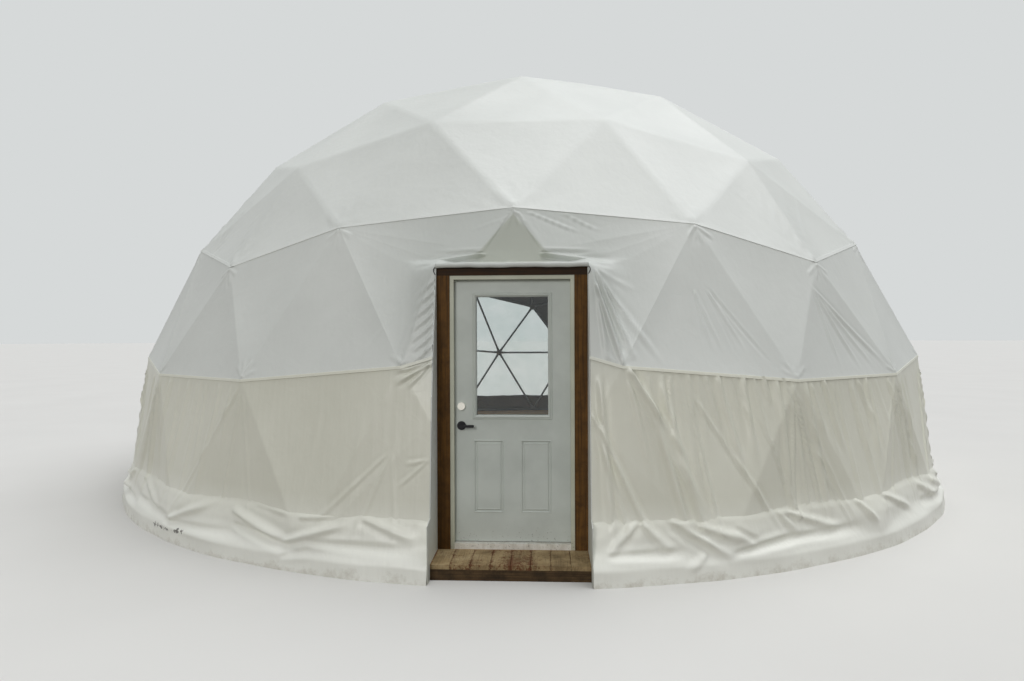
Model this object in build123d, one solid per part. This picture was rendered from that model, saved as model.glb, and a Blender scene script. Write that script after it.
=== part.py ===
from build123d import *
import os
from math import atan2, cos, degrees, pi, radians, sin, sqrt

# Geodesic dome shelter, ten metres across: half of an icosahedron whose every
# edge is divided in four and pushed out to one sphere, one corner at the top.
# Tubes meet at hub blocks, coated fabric lies over them, and the ring of
# lowest tubes stands on a round timber deck. The door looks along -Y.
# The origin is on the ground under the crown. All sizes are in millimetres.

# Dome
cover_radius = 5000.0
cover_thickness = 5.0
frequency = 4
seam_gap = 0.5
seat_gap = 0.3
crease_allowance = 1.016

# Tubes and hub blocks
tube_radius = 21.0
tube_sides = 6
hub_reach = 52.0
hub_rise = 8.0
hub_sink = 21.0

# Platform
deck_top = 110.0
deck_thickness = 32.0
platform_margin = 4.0
platform_sides = 60
rim_width = 40.0
joist_width = 45.0
joist_spacing = 800.0
joist_gap = 2.0

# Landing in front of the door
landing_boards = 8
landing_board_gap = 2.9
landing_setback = 99.0
riser_thickness = 38.0

# Door leaf, hung at its right edge and opening inwards
leaf_width = 908.0
leaf_height = 2010.0
leaf_thickness = 45.0
leaf_rise = 50.0
leaf_gap = 5.0

# Door frame
post_width = 98.5
post_depth = 95.0
header_proud = 121.0
header_height = 90.0
jamb_thickness = 12.5
jamb_recess = 5.0
stop_overlap = 12.5
threshold_height = 44.0
threshold_depth = 120.0

# Window in the door leaf
glass_width = 546.0
glass_height = 902.0
glass_head = 143.0
glass_thickness = 18.0
glass_edge = 10.0
lite_width = 31.0
lite_proud = 12.0
lite_bevel = 8.0

# Embossed panels of the door leaf
panel_width = 219.0
panel_gap = 166.0
panel_foot = 224.0
panel_centre = 181.0
panel_groove = 22.0
panel_depth = 5.0

# Lever and deadbolt
lock_backset = 64.5
lever_height = 884.0
deadbolt_spacing = 149.0
rose_radius = 34.0
rose_thickness = 10.0
spindle_radius = 8.0
spindle_clearance = 0.1
spindle_room = 13.0
lever_length = 100.0
lever_width = 20.0
lever_depth = 12.0
lever_reach = 42.0
deadbolt_radius = 29.0
deadbolt_proud = 18.0
turn_width = 12.0
turn_height = 38.0
round_sides = 32

# Hinges
hinge_count = 3
hinge_height = 100.0
hinge_inset = 180.0
knuckle_sides = 16
hinge_plate = 2.5
hinge_depth = 35.0
knuckle_radius = 6.5
knuckle_gap = 0.5
pin_radius = 3.25
pin_clearance = 0.05

# Fabric round the doorway
return_thickness = 6.0
return_lap = 10.0
flap_thickness = 6.0
flap_drop = 46.0
hem_radius = 10.0
strut_splay = 18.0

# Clear window bay in the back left wall
window_angle = -144.0
window_sill = 390.0
window_thickness = 3.0

# Skirt that hangs over the rim of the platform
skirt_parts = 20
skirt_steps = 3
skirt_foot = 28.0
skirt_band = 165.0
skirt_top = 432.0
band_lean = 7.0
fold_low_proud = 14.0
fold_low_rise = 35.0
fold_low_height = 40.0
valley_depth = 10.0
valley_rise = 125.0
fold_high_proud = 2.0
fold_high_rise = 170.0
ledge_drop = 40.0
ledge_inset = 30.0
ledge_reach = 125.0
ledge_depth = 130.0

# Places worked out from the sizes above
tube_flat = tube_radius * cos(pi / tube_sides)
hub_plane = deck_top + tube_flat
centre = Vector(0, 0, hub_plane)
inside_scale = (cover_radius - cover_thickness) / cover_radius
frame_radius = cover_radius - cover_thickness - (tube_radius + seat_gap) * crease_allowance
platform_radius = cover_radius + platform_margin
deck_underside = deck_top - deck_thickness

leaf_half = leaf_width / 2
leaf_bottom = deck_top + leaf_rise
leaf_top = leaf_bottom + leaf_height
jamb_half = leaf_half + leaf_gap
post_inner = jamb_half + jamb_thickness
post_outer = post_inner + post_width
stop_half = leaf_half - stop_overlap
header_foot = leaf_top + leaf_gap + jamb_thickness
header_top = header_foot + header_height
opening_half = (post_outer + return_thickness + 2 * seat_gap) / inside_scale
landing_front = platform_radius - landing_setback


# Solids from loops of points

def chain(loops):
    """Closed solid through a row of loops that have the same number of corners."""
    count = len(loops[0])
    outlines = [list(reversed(loops[0])), list(loops[-1])]
    for first, second in zip(loops, loops[1:]):
        for i in range(count):
            j = (i + 1) % count
            outlines.append([first[i], first[j], second[j], second[i]])
    faces = [Face(Wire.make_polygon(outline, close=True)) for outline in outlines]
    solid = Solid(Shell(faces))
    return solid if solid.volume > 0 else Solid(Shell([-face for face in faces]))


def frustum(first, second):
    """Closed solid between two loops."""
    return chain([first, second])


def block(x, y, z):
    """Box between three pairs of limits."""
    size = [abs(pair[1] - pair[0]) for pair in (x, y, z)]
    corner = Location((min(x), min(y), min(z)))
    return Solid.make_box(*size).moved(corner)


def rod(start, end, radius, sides=None):
    """Bar between two points: a true cylinder, or many-sided and as wide as one."""
    start, end = Vector(start), Vector(end)
    length = (end - start).length
    plane = Plane(start, z_dir=end - start)
    if sides is None:
        return Solid.make_cylinder(radius, length, plane)
    return prism(plane, radius, sides, length)


def prism(plane, radius, sides, length):
    """Upright many-sided bar on a plane, its corners at the radius."""
    loops = ([], [])
    for n in range(sides):
        turn = 2 * pi * n / sides
        for loop, height in zip(loops, (0, length)):
            loop.append(plane.from_local_coords(Vector(radius * cos(turn), radius * sin(turn), height)))
    return frustum(*loops)


def write(name, solids):
    """One file for each node."""
    solids = [s for s in solids]
    shape = solids[0] if len(solids) == 1 else Compound(solids)
    export_step(shape, "parts/" + name + ".step")


# Geodesic lattice

def icosahedron():
    """The corners of an icosahedron with one corner up, and its upper fifteen faces."""
    level = 1 / sqrt(5)
    reach = 2 / sqrt(5)
    top = Vector(0, 0, 1)
    upper = []
    lower = []
    for k in range(5):
        a = radians(36 + 72 * k)
        upper.append(Vector(reach * sin(a), -reach * cos(a), level))
        a = radians(72 * k)
        lower.append(Vector(reach * sin(a), -reach * cos(a), -level))
    faces = []
    for k in range(5):
        before = upper[k - 1]
        faces.append((top, before, upper[k]))
        faces.append((lower[k], before, upper[k]))
        faces.append((upper[k], lower[k], lower[(k + 1) % 5]))
    return faces


def lattice():
    """Hub directions on the unit sphere, struts as pairs and facets as triples of hubs."""
    hubs = []
    index = {}

    def hub(direction):
        key = (round(direction.X, 5), round(direction.Y, 5), round(direction.Z, 5))
        if key not in index:
            index[key] = len(hubs)
            hubs.append(direction)
        return index[key]

    facets = []
    for a, b, c in icosahedron():
        grid = {}
        for i in range(frequency + 1):
            for j in range(frequency + 1 - i):
                k = frequency - i - j
                grid[(i, j)] = (a * i + b * j + c * k).normalized()
        for i in range(frequency):
            for j in range(frequency - i):
                cells = [((i, j), (i + 1, j), (i, j + 1))]
                if i + j < frequency - 1:
                    cells.append(((i + 1, j), (i + 1, j + 1), (i, j + 1)))
                for cell in cells:
                    corners = [grid[c] for c in cell]
                    if min(corner.Z for corner in corners) > -1e-6:
                        facets.append(tuple(hub(corner) for corner in corners))
    struts = set()
    for facet in facets:
        for n in range(3):
            struts.add(tuple(sorted((facet[n], facet[n - 1]))))
    return hubs, sorted(struts), facets


hubs, struts, facets = lattice()


def azimuth(direction):
    """Degrees round from the door, positive towards +X."""
    return degrees(atan2(direction.X, -direction.Y))


def ring_numbers():
    """How many struts each hub is away from the crown."""
    crown = max(range(len(hubs)), key=lambda n: hubs[n].Z)
    ring = {crown: 0}
    front = [crown]
    while front:
        found = []
        for a, b in struts:
            for here, there in ((a, b), (b, a)):
                if here in front and there not in ring:
                    ring[there] = ring[here] + 1
                    found.append(there)
        front = found
    return ring


ring = ring_numbers()
last_ring = max(ring.values())


def find_hub(ring_number, angle):
    """The hub of a ring that lies nearest to an azimuth."""
    members = [n for n in ring if ring[n] == ring_number]
    return min(members, key=lambda n: abs((azimuth(hubs[n]) - angle + 180) % 360 - 180))


def frame_point(hub):
    """Centre of a hub block."""
    return centre + hubs[hub] * frame_radius


def cover_point(hub):
    """Corner of the cover's outside over a hub."""
    return centre + hubs[hub] * cover_radius


# Hubs round the doorway
door_crown = find_hub(last_ring - 2, 0)
door_sill = find_hub(last_ring, 0)
door_sides = {side: find_hub(last_ring - 1, side * 9.7) for side in (-1, 1)}
door_shoulders = {side: find_hub(last_ring - 2, side * 20) for side in (-1, 1)}
door_feet = {side: find_hub(last_ring, side * 18) for side in (-1, 1)}


def facet_depth(height):
    """How far forward the facet over the doorway lies at a height."""
    crown, side = cover_point(door_crown), cover_point(door_sides[1])
    share = (crown.Z - height) / (crown.Z - side.Z)
    return -(crown.Y + (side.Y - crown.Y) * share)


def facet_half(height):
    """Half the width of the facet over the doorway at a height."""
    crown, side = cover_point(door_crown), cover_point(door_sides[1])
    return side.X * (crown.Z - height) / (crown.Z - side.Z)


# Depths of the door and its frame, set by where the header stands out of the cover
frame_front = facet_depth(header_top) + header_proud
frame_back = frame_front - post_depth
leaf_back = frame_back
leaf_face = leaf_back + leaf_thickness
stop_face = leaf_face + leaf_gap


# Tube frame

def tangent(hub, towards):
    """Direction in the hub's tangent plane towards a point."""
    normal = hubs[hub]
    way = towards - frame_point(hub)
    return (way - normal * way.dot(normal)).normalized()


def bar(start, end, outward, start_plane, end_plane):
    """Tube along a line, cut at two planes, each a point and a normal."""
    axis = (end - start).normalized()
    across = outward - axis * outward.dot(axis)
    across = across.normalized()
    beside = axis.cross(across)
    ends = ([], [])
    for n in range(tube_sides):
        turn = 2 * pi * n / tube_sides
        corner = start + (across * cos(turn) + beside * sin(turn)) * tube_radius
        for loop, (point, normal) in zip(ends, (start_plane, end_plane)):
            travel = (point - corner).dot(normal) / axis.dot(normal)
            loop.append(corner + axis * travel)
    return frustum(*ends)


def hub_cut(hub, towards):
    """Face of a hub block that a tube butts against."""
    way = tangent(hub, towards)
    return frame_point(hub) + way * hub_reach, way


def strut(a, b):
    """Tube between two hubs."""
    start, end = frame_point(a), frame_point(b)
    return bar(start, end, hubs[a] + hubs[b], hub_cut(a, end), hub_cut(b, start))


def header_landing(side):
    """Where the cut tube above the doorway stands on the header."""
    landing = facet_half(header_top) + strut_splay
    return Vector(side * landing, -(frame_front + frame_back) / 2, header_top)


def doorway_tubes(side):
    """The tubes on one side of the doorway that the door frame cuts short, by node."""
    crown = frame_point(door_crown)
    landing = header_landing(side)
    upper = bar(crown, landing, hubs[door_crown], hub_cut(door_crown, landing), (landing, Vector(0, 0, 1)))

    foot = frame_point(door_feet[side])
    sill = frame_point(door_sill)
    foot_end = Vector(side * (opening_half + seat_gap), 0, 0)
    cheek = Vector(side, 0, 0)
    base = bar(foot, sill, hubs[door_feet[side]] + hubs[door_sill], hub_cut(door_feet[side], sill), (foot_end, cheek))

    hub = door_sides[side]
    back = frame_point(hub) - hubs[hub] * hub_sink
    post = Vector(side * post_outer, -(frame_back + tube_radius * 1.5), back.Z)
    brace = bar(back, post, Vector(0, 0, 1), (back, hubs[hub]), (post, cheek))
    return {"frame_wall_upper": upper, "frame_base_ring": base, "frame_wall_lower": brace}


def hub_block(hub):
    """Block with one flat side for each tube that meets it."""
    normal = hubs[hub]
    middle = frame_point(hub)
    across = normal.cross(Vector(0.31, 0.17, 0.94)).normalized()
    beside = normal.cross(across)
    ways = []
    for a, b in struts:
        if hub in (a, b):
            other = frame_point(b if a == hub else a)
            ways.append((tangent(hub, other), hub_reach))
    if ring[hub] == last_ring:
        ways.append((Vector(0, 0, -1), tube_flat))
    if hub == door_crown:
        for side in (-1, 1):
            natural = tangent(hub, frame_point(door_sides[side]))
            ways = [w for w in ways if (w[0] - natural).length > 0.01]
            ways.append((tangent(hub, header_landing(side)), hub_reach))
    sides = sorted((atan2(w.dot(beside), w.dot(across)), reach) for w, reach in ways)
    corners = []
    for n in range(len(sides)):
        angle_a, reach_a = sides[n - 1]
        angle_b, reach_b = sides[n]
        spread = sin(angle_b - angle_a)
        u = (reach_a * sin(angle_b) - reach_b * sin(angle_a)) / spread
        v = (reach_b * cos(angle_a) - reach_a * cos(angle_b)) / spread
        corners.append(middle + across * u + beside * v)
    top = [c + normal * hub_rise for c in corners]
    foot = [c - normal * hub_sink for c in corners]
    return frustum(foot, top)


def frame_nodes():
    """Tubes and hub blocks, by node."""
    names = {
        1: "frame_crown",
        2: "frame_crown",
        3: "frame_roof_upper",
        4: "frame_roof_lower",
        5: "frame_wall_upper",
        6: "frame_wall_lower",
    }
    nodes = {}
    for a, b in struts:
        outer = max(ring[a], ring[b])
        flat = ring[a] == ring[b]
        level = outer + 1 if flat else outer
        name = names[level] if level in names else "frame_base_ring"
        cut = door_sill in (a, b) or {a, b} == set(door_sides.values())
        cut = cut or (door_crown in (a, b) and (a in door_sides.values() or b in door_sides.values()))
        if not cut:
            nodes.setdefault(name, []).append(strut(a, b))
    for side in (-1, 1):
        for name, tube in doorway_tubes(side).items():
            nodes[name].append(tube)
    for hub in range(len(hubs)):
        if hub != door_sill:
            name = "hub_blocks_wall" if ring[hub] >= last_ring - 2 else "hub_blocks_roof"
            nodes.setdefault(name, []).append(hub_block(hub))
    return nodes


# Cover

def panel(corners, thickness):
    """One flat panel of the cover, drawn back a little from its seams."""
    middle = sum(corners, Vector(0, 0, 0)) * (1 / len(corners))
    outer = []
    for corner in corners:
        way = middle - corner
        outer.append(corner + way * (seam_gap / way.length))
    scale = (cover_radius - thickness) / cover_radius
    inner = [centre + (corner - centre) * scale for corner in outer]
    return frustum(inner, outer)


def clip(corners, height, above):
    """The part of a flat panel above or below a level."""
    kept = []
    for n in range(len(corners)):
        a, b = corners[n - 1], corners[n]
        inside_a = (a.Z > height) == above
        inside_b = (b.Z > height) == above
        if inside_a != inside_b:
            kept.append(a + (b - a) * ((height - a.Z) / (b.Z - a.Z)))
        if inside_b:
            kept.append(b)
    return kept


def at_width(a, b, width):
    """Point of the line between two corners at a distance from the door's middle."""
    return a + (b - a) * ((width - a.X) / (b.X - a.X))


def header_corner(side):
    """Outside of the cover where it is pulled out over the header's end."""
    lift = cover_thickness + 1
    return Vector(side * opening_half, -(frame_front + lift), header_top + lift)


def doorway_edge(side):
    """Edge of the cover beside the doorway, from the header down to the hub plane."""
    hub = cover_point(door_sides[side])
    sill = cover_point(door_sill)
    foot = cover_point(door_feet[side])
    width = side * opening_half
    level = Vector(width, hub.Y, hub.Z)
    return [header_corner(side), level, at_width(hub, sill, width), at_width(foot, sill, width)]


def doorway_panels(side):
    """Cover panels on one side of the doorway."""
    crown = cover_point(door_crown)
    shoulder = cover_point(door_shoulders[side])
    hub = cover_point(door_sides[side])
    foot = cover_point(door_feet[side])
    corner, level, low, sill = doorway_edge(side)
    outlines = [
        [crown, corner, shoulder],
        [shoulder, corner, hub],
        [hub, corner, level],
        [hub, level, low],
        [hub, low, sill, foot],
    ]
    return [panel(outline, cover_thickness) for outline in outlines]


def in_window(facet):
    """True for a facet of the clear bay: below one upper edge of the icosahedron."""
    if min(ring[n] for n in facet) < last_ring - 2:
        return False
    middle = sum((hubs[n] for n in facet), Vector(0, 0, 0))
    turn = abs((azimuth(middle) - window_angle + 180) % 360 - 180)
    level = middle.normalized().Z
    return turn < 36 + 18 * (0.4472 - level) / 0.4472


def cover_nodes():
    """Cover and window panels, by node."""
    doorway = [set((door_crown, door_sides[s], door_shoulders[s])) for s in (-1, 1)]
    doorway.append(set((door_crown, door_sides[-1], door_sides[1])))
    nodes = {}
    for facet in facets:
        corners = [cover_point(n) for n in facet]
        if door_sill in facet or set(facet) in doorway:
            continue
        middle = sum((hubs[n] for n in facet), Vector(0, 0, 0))
        turn = azimuth(middle)
        outer = max(ring[n] for n in facet)
        if in_window(facet):
            pane = clip(corners, window_sill, True)
            nodes.setdefault("window_panes", []).append(panel(pane, window_thickness))
            corners = clip(corners, window_sill, False)
            if len(corners) < 3:
                continue
        if outer <= 2:
            name = "cover_crown"
        else:
            part = "cover_roof" if outer <= last_ring - 2 else "cover_wall"
            name = part + ("_back" if abs(turn) > 126 else "_right" if turn > 0 else "_left")
        nodes.setdefault(name, []).append(panel(corners, cover_thickness))
    over = [cover_point(door_crown), header_corner(-1), header_corner(1)]
    nodes["cover_over_door"] = [panel(over, cover_thickness)]
    nodes["cover_left_of_door"] = doorway_panels(-1)
    nodes["cover_right_of_door"] = doorway_panels(1)
    return nodes


def doorway_return(side):
    """Fabric that turns in from the cover to the door post and down beside the landing."""
    corner, level, low, sill = doorway_edge(side)
    ledge = low + (sill - low) * ((low.Z - skirt_top) / (low.Z - sill.Z))
    front = -(platform_radius - seat_gap)
    inner = -(frame_front - return_lap)
    outline = [
        (inner, deck_top + seat_gap),
        (inner, header_top),
        (corner.Y, header_top),
        (level.Y, level.Z),
        (low.Y, low.Z),
        (ledge.Y, ledge.Z),
        (front, skirt_top - skirt_foot),
        (front, 0),
        (-(frame_front + seat_gap), 0),
        (-(frame_front + seat_gap), deck_top + seat_gap),
    ]
    near = side * (post_outer + seat_gap)
    far = near + side * return_thickness
    return frustum([Vector(near, y, z) for y, z in outline], [Vector(far, y, z) for y, z in outline])


def header_flap():
    """Hem of the cover that hangs over the front of the header."""
    back = -(frame_front + seat_gap)
    strip = block((-post_outer, post_outer), (back - flap_thickness, back), (header_top - flap_drop, header_top))
    height = header_top - flap_drop
    place = back - hem_radius
    hem = rod((-post_outer, place, height), (post_outer, place, height), hem_radius)
    return strip.fuse(hem)


# Skirt

def skirt_core(angle):
    """The wall's own facets near an azimuth, as one closed shell that the skirt lies against."""
    chosen = []
    for facet in facets:
        middle = sum((hubs[n] for n in facet), Vector(0, 0, 0))
        away = abs((azimuth(middle) - angle + 180) % 360 - 180)
        if max(ring[n] for n in facet) == last_ring and away < 24:
            chosen.append(facet)
    outer_scale = 1 + seat_gap / cover_radius
    inner_scale = 0.95
    faces = []
    edges = {}
    for facet in chosen:
        corners = [cover_point(n) for n in facet]
        for scale in (outer_scale, inner_scale):
            loop = [centre + (c - centre) * scale for c in corners]
            faces.append(Face(Wire.make_polygon(loop, close=True)))
        for n in range(3):
            edge = tuple(sorted((facet[n], facet[n - 1])))
            edges[edge] = edges.get(edge, 0) + 1
    for (a, b), count in edges.items():
        if count == 1:
            pair = [cover_point(a) - centre, cover_point(b) - centre]
            loop = [centre + pair[0] * outer_scale, centre + pair[1] * outer_scale]
            loop += [centre + pair[1] * inner_scale, centre + pair[0] * inner_scale]
            faces.append(Face(Wire.make_polygon(loop, close=True)))
    return Solid(Shell(faces))


def skirt_segment(number):
    """One length of the slack skirt, between two hubs of the base ring."""
    inside = platform_radius + seat_gap
    foot = inside + skirt_foot
    deep = cover_radius - ledge_reach
    profile = [
        (inside, 0),
        (foot, 0),
        (foot - band_lean, skirt_band),
        (foot + fold_low_proud, skirt_band + fold_low_rise),
        (foot + fold_low_proud, skirt_band + fold_low_rise + fold_low_height),
        (foot - valley_depth, skirt_band + valley_rise),
        (foot + fold_high_proud, skirt_band + fold_high_rise),
        (foot, skirt_top - ledge_drop),
        (cover_radius - ledge_inset, skirt_top),
        (deep, skirt_top),
        (deep, skirt_top - ledge_depth),
        (inside, hub_plane + seat_gap),
    ]
    step = 360 / skirt_parts
    gap = degrees(seam_gap / cover_radius)
    start, sweep = number * step + gap, step - 2 * gap
    loops = []
    for n in range(skirt_steps + 1):
        angle = radians(start + sweep * n / skirt_steps)
        loops.append([Vector(r * sin(angle), -r * cos(angle), z) for r, z in profile])
    solid = chain(loops)
    solid = solid.cut(skirt_core((number + 0.5) * step))
    if number in (0, skirt_parts - 1):
        way = block((-opening_half, opening_half), (-cover_radius * 1.1, 0), (0, cover_radius))
        solid = solid.cut(way)
    return max(solid.solids(), key=lambda s: s.volume)


def skirt_nodes():
    """Skirt segments, by node."""
    nodes = {}
    for number in range(skirt_parts):
        angle = (number + 0.5) * 360 / skirt_parts
        name = "skirt_back" if 126 < angle < 234 else "skirt_right" if angle < 180 else "skirt_left"
        nodes.setdefault(name, []).append(skirt_segment(number))
    return nodes


# Platform

def platform_nodes():
    """Deck, rim, joists and the landing in the doorway, by node."""
    notch = block((-opening_half, opening_half), (-platform_radius * 1.1, -frame_front), (0, deck_top))
    ground = Plane.XY
    deck = prism(ground.offset(deck_underside), platform_radius, platform_sides, deck_thickness).cut(notch)
    rim = prism(ground, platform_radius, platform_sides, deck_underside)
    rim = rim.cut(prism(ground, platform_radius - rim_width, platform_sides, deck_underside)).cut(notch)
    cheeks = []
    for side in (-1, 1):
        x = (side * opening_half, side * (opening_half + riser_thickness))
        y = (-(platform_radius - rim_width * 1.6), -frame_front)
        cheeks.append(block(x, y, (0, deck_underside)))
    rim = rim.fuse(*cheeks)
    joists = []
    inner = (platform_radius - rim_width) * cos(pi / platform_sides) - joist_gap
    count = int(inner / joist_spacing)
    for n in range(-count, count + 1):
        y = n * joist_spacing
        reach = sqrt(inner ** 2 - (abs(y) + joist_width / 2) ** 2)
        if -y < frame_front - joist_width:
            joists.append(block((-reach, reach), (y - joist_width / 2, y + joist_width / 2), (0, deck_underside)))
    boards = []
    pitch = (2 * post_outer + landing_board_gap) / landing_boards
    for n in range(landing_boards):
        x = (n - (landing_boards - 1) / 2) * pitch
        half = (pitch - landing_board_gap) / 2
        edges = (x - half, x + half)
        boards.append(block(edges, (-landing_front, -(frame_front + seat_gap)), (deck_underside, deck_top)))
    risers = []
    for front in (landing_front, frame_front + seat_gap + riser_thickness):
        risers.append(block((-post_outer, post_outer), (-front, riser_thickness - front), (0, deck_underside)))
    return {
        "floor_deck": [deck],
        "platform_rim": [rim],
        "floor_joists": joists,
        "landing_boards": boards,
        "landing_risers": risers,
    }


# Door frame

def hinge_levels():
    """Height of the middle of each hinge."""
    low = leaf_bottom + hinge_inset
    high = leaf_top - hinge_inset
    return [low + (high - low) * n / (hinge_count - 1) for n in range(hinge_count)]


pin_x = leaf_half + leaf_gap / 2
pin_y = -(leaf_back - knuckle_radius - knuckle_gap)


def hinge_pocket(level, inner, outer):
    """Recess for one leaf of a hinge."""
    y = (-(leaf_back + hinge_depth), -leaf_back)
    return block((inner, outer), y, (level - hinge_height / 2, level + hinge_height / 2))


def side_jamb(side):
    """Rebated jamb: the step that the leaf shuts against is part of it."""
    front = frame_front - jamb_recess
    outline = [
        (post_inner, -front),
        (stop_half, -front),
        (stop_half, -stop_face),
        (jamb_half, -stop_face),
        (jamb_half, -frame_back),
        (post_inner, -frame_back),
    ]
    top = leaf_top + leaf_gap
    loops = [[Vector(side * x, y, z) for x, y in outline] for z in (deck_top, top)]
    jamb = frustum(*loops)
    if side > 0:
        for level in hinge_levels():
            jamb = jamb.cut(hinge_pocket(level, jamb_half, jamb_half + hinge_plate))
    return jamb


def head_jamb():
    """Rebated head that lies on the two side jambs."""
    top = leaf_top + leaf_gap
    front = frame_front - jamb_recess
    board = block((-post_inner, post_inner), (-front, -frame_back), (top, header_foot))
    stop = block((-stop_half, stop_half), (-front, -stop_face), (leaf_top - stop_overlap, top))
    return board.fuse(stop)


def door_frame_nodes():
    """Posts, header, jambs and threshold, by node."""
    nodes = {}
    for side, word in ((-1, "left"), (1, "right")):
        x = (side * post_inner, side * post_outer)
        nodes["door_post_" + word] = [block(x, (-frame_front, -frame_back), (deck_top, header_foot))]
        nodes["door_jamb_" + word] = [side_jamb(side)]
        nodes["doorway_return_" + word] = [doorway_return(side)]
    wide = (-post_outer, post_outer)
    nodes["door_header"] = [block(wide, (-frame_front, -frame_back), (header_foot, header_top))]
    nodes["door_jamb_head"] = [head_jamb()]
    front = frame_front - jamb_recess
    sill = block((-stop_half, stop_half), (-front, threshold_depth - front), (deck_top, deck_top + threshold_height))
    nodes["door_threshold"] = [sill]
    nodes["header_flap"] = [header_flap()]
    nodes["hinges_on_jamb"] = [hinge_on_jamb(level) for level in hinge_levels()]
    return nodes


# Door

def hinge_on_jamb(level):
    """Fixed leaf of a hinge with its two outer knuckles and the pin."""
    low, high = level - hinge_height / 2, level + hinge_height / 2
    third = hinge_height / 3
    x = (jamb_half, jamb_half + hinge_plate)
    solid = block(x, (-(leaf_back + hinge_depth), -leaf_back), (low, high))
    for foot in (low, high - third):
        solid = solid.fuse(block((pin_x, x[1]), (-leaf_back, pin_y), (foot, foot + third)))
        solid = solid.fuse(rod((pin_x, pin_y, foot), (pin_x, pin_y, foot + third), knuckle_radius, knuckle_sides))
    return solid.fuse(rod((pin_x, pin_y, low), (pin_x, pin_y, high), pin_radius, knuckle_sides))


def hinge_on_leaf(level):
    """Moving leaf of a hinge with its middle knuckle."""
    low, high = level - hinge_height / 2, level + hinge_height / 2
    third = hinge_height / 3
    foot, top = low + third + knuckle_gap, high - third - knuckle_gap
    x = (leaf_half - hinge_plate, leaf_half)
    solid = block(x, (-(leaf_back + hinge_depth), -leaf_back), (low, high))
    solid = solid.fuse(block((x[0], pin_x), (-leaf_back, pin_y), (foot, top)))
    solid = solid.fuse(rod((pin_x, pin_y, foot), (pin_x, pin_y, top), knuckle_radius, knuckle_sides))
    bore = (pin_radius + pin_clearance) / cos(pi / knuckle_sides)
    return solid.cut(rod((pin_x, pin_y, low), (pin_x, pin_y, high), bore, knuckle_sides))


lock_x = -(leaf_half - lock_backset)
lever_z = leaf_bottom + lever_height
deadbolt_z = lever_z + deadbolt_spacing
glass_high = leaf_top - glass_head
glass_low = glass_high - glass_height
panel_low = leaf_bottom + panel_foot
panel_high = glass_low - lite_width - panel_gap


def frame_ring(half_inner, half_outer, low, high, grow, y):
    """Rectangular ring round the glass, between two distances from its edge."""
    ring_outer = block((-half_outer, half_outer), y, (low - grow, high + grow))
    return ring_outer.cut(block((-half_inner, half_inner), y, (low, high)))


def lite_frame(face, sign):
    """Moulded frame of the door's window on one face, with the lip that holds the glass."""
    half = glass_width / 2
    proud = face - sign * lite_proud
    flange = frame_ring(half, half + lite_width, glass_low, glass_high, lite_width, (face, proud))
    edges = [e for e in flange.edges() if abs(e.center().Y - proud) < 0.01]
    flange = flange.chamfer(lite_bevel, None, edges)
    lip_depth = (leaf_thickness - glass_thickness) / 2
    lip = frame_ring(half, half + glass_edge, glass_low, glass_high, glass_edge, (face, face + sign * lip_depth))
    return flange.fuse(lip)


def panel_cut(x, face, sign):
    """Groove round one embossed panel."""
    z = (panel_low, panel_high)
    half = panel_width / 2
    y = (face, face + sign * panel_depth)
    ring_outer = block((x - half, x + half), y, z)
    inner = block(
        (x - half + panel_groove, x + half - panel_groove), y, (z[0] + panel_groove, z[1] - panel_groove)
    )
    return ring_outer.cut(inner)


def door_leaf():
    """Pressed steel leaf with its window opening, panels, hinge recesses and spindle hole."""
    leaf = block((-leaf_half, leaf_half), (-leaf_face, -leaf_back), (leaf_bottom, leaf_top))
    half = glass_width / 2 + glass_edge
    light = block((-half, half), (-leaf_face, -leaf_back), (glass_low - glass_edge, glass_high + glass_edge))
    leaf = leaf.cut(light)
    for x in (-panel_centre, panel_centre):
        leaf = leaf.cut(panel_cut(x, -leaf_face, 1)).cut(panel_cut(x, -leaf_back, -1))
    for level in hinge_levels():
        leaf = leaf.cut(hinge_pocket(level, leaf_half - hinge_plate, leaf_half))
    return leaf.cut(rod((lock_x, -leaf_face, lever_z), (lock_x, -leaf_back, lever_z), spindle_room))


def lever_rose(face, sign):
    """Round plate behind a lever."""
    out = face - sign * rose_thickness
    plate = rod((lock_x, face, lever_z), (lock_x, out, lever_z), rose_radius, round_sides)
    bore = (spindle_radius + spindle_clearance) / cos(pi / round_sides)
    return plate.cut(rod((lock_x, face, lever_z), (lock_x, out, lever_z), bore, round_sides))


def lever_arm(face, sign):
    """Lever that points away from the leaf's edge."""
    near = face - sign * lever_reach
    far = near - sign * lever_depth
    half = lever_width / 2
    arm = block((lock_x, lock_x + lever_length - half), (near, far), (lever_z - half, lever_z + half))
    for x in (lock_x, lock_x + lever_length - half):
        arm = arm.fuse(rod((x, near, lever_z), (x, far, lever_z), half, round_sides))
    return arm


def levers():
    """Both levers on their one spindle."""
    ends = [(lock_x, -(leaf_face + lever_reach), lever_z), (lock_x, -(leaf_back - lever_reach), lever_z)]
    spindle = rod(*ends, spindle_radius, round_sides)
    return spindle.fuse(lever_arm(-leaf_face, 1)).fuse(lever_arm(-leaf_back, -1))


def deadbolt():
    """Outer lock cylinder and inner thumb turn, on the leaf's two faces."""
    places = [(lock_x, y, deadbolt_z) for y in (-leaf_face, -(leaf_face + deadbolt_proud))]
    outer = rod(*places, deadbolt_radius, round_sides)
    places = [(lock_x, y, deadbolt_z) for y in (-leaf_back, -(leaf_back - rose_thickness))]
    plate = rod(*places, deadbolt_radius, round_sides)
    turn_y = (-(leaf_back - rose_thickness), -(leaf_back - rose_thickness - deadbolt_proud))
    x = (lock_x - turn_width / 2, lock_x + turn_width / 2)
    z = (deadbolt_z - turn_height / 2, deadbolt_z + turn_height / 2)
    return [outer, plate.fuse(block(x, turn_y, z))]


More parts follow.
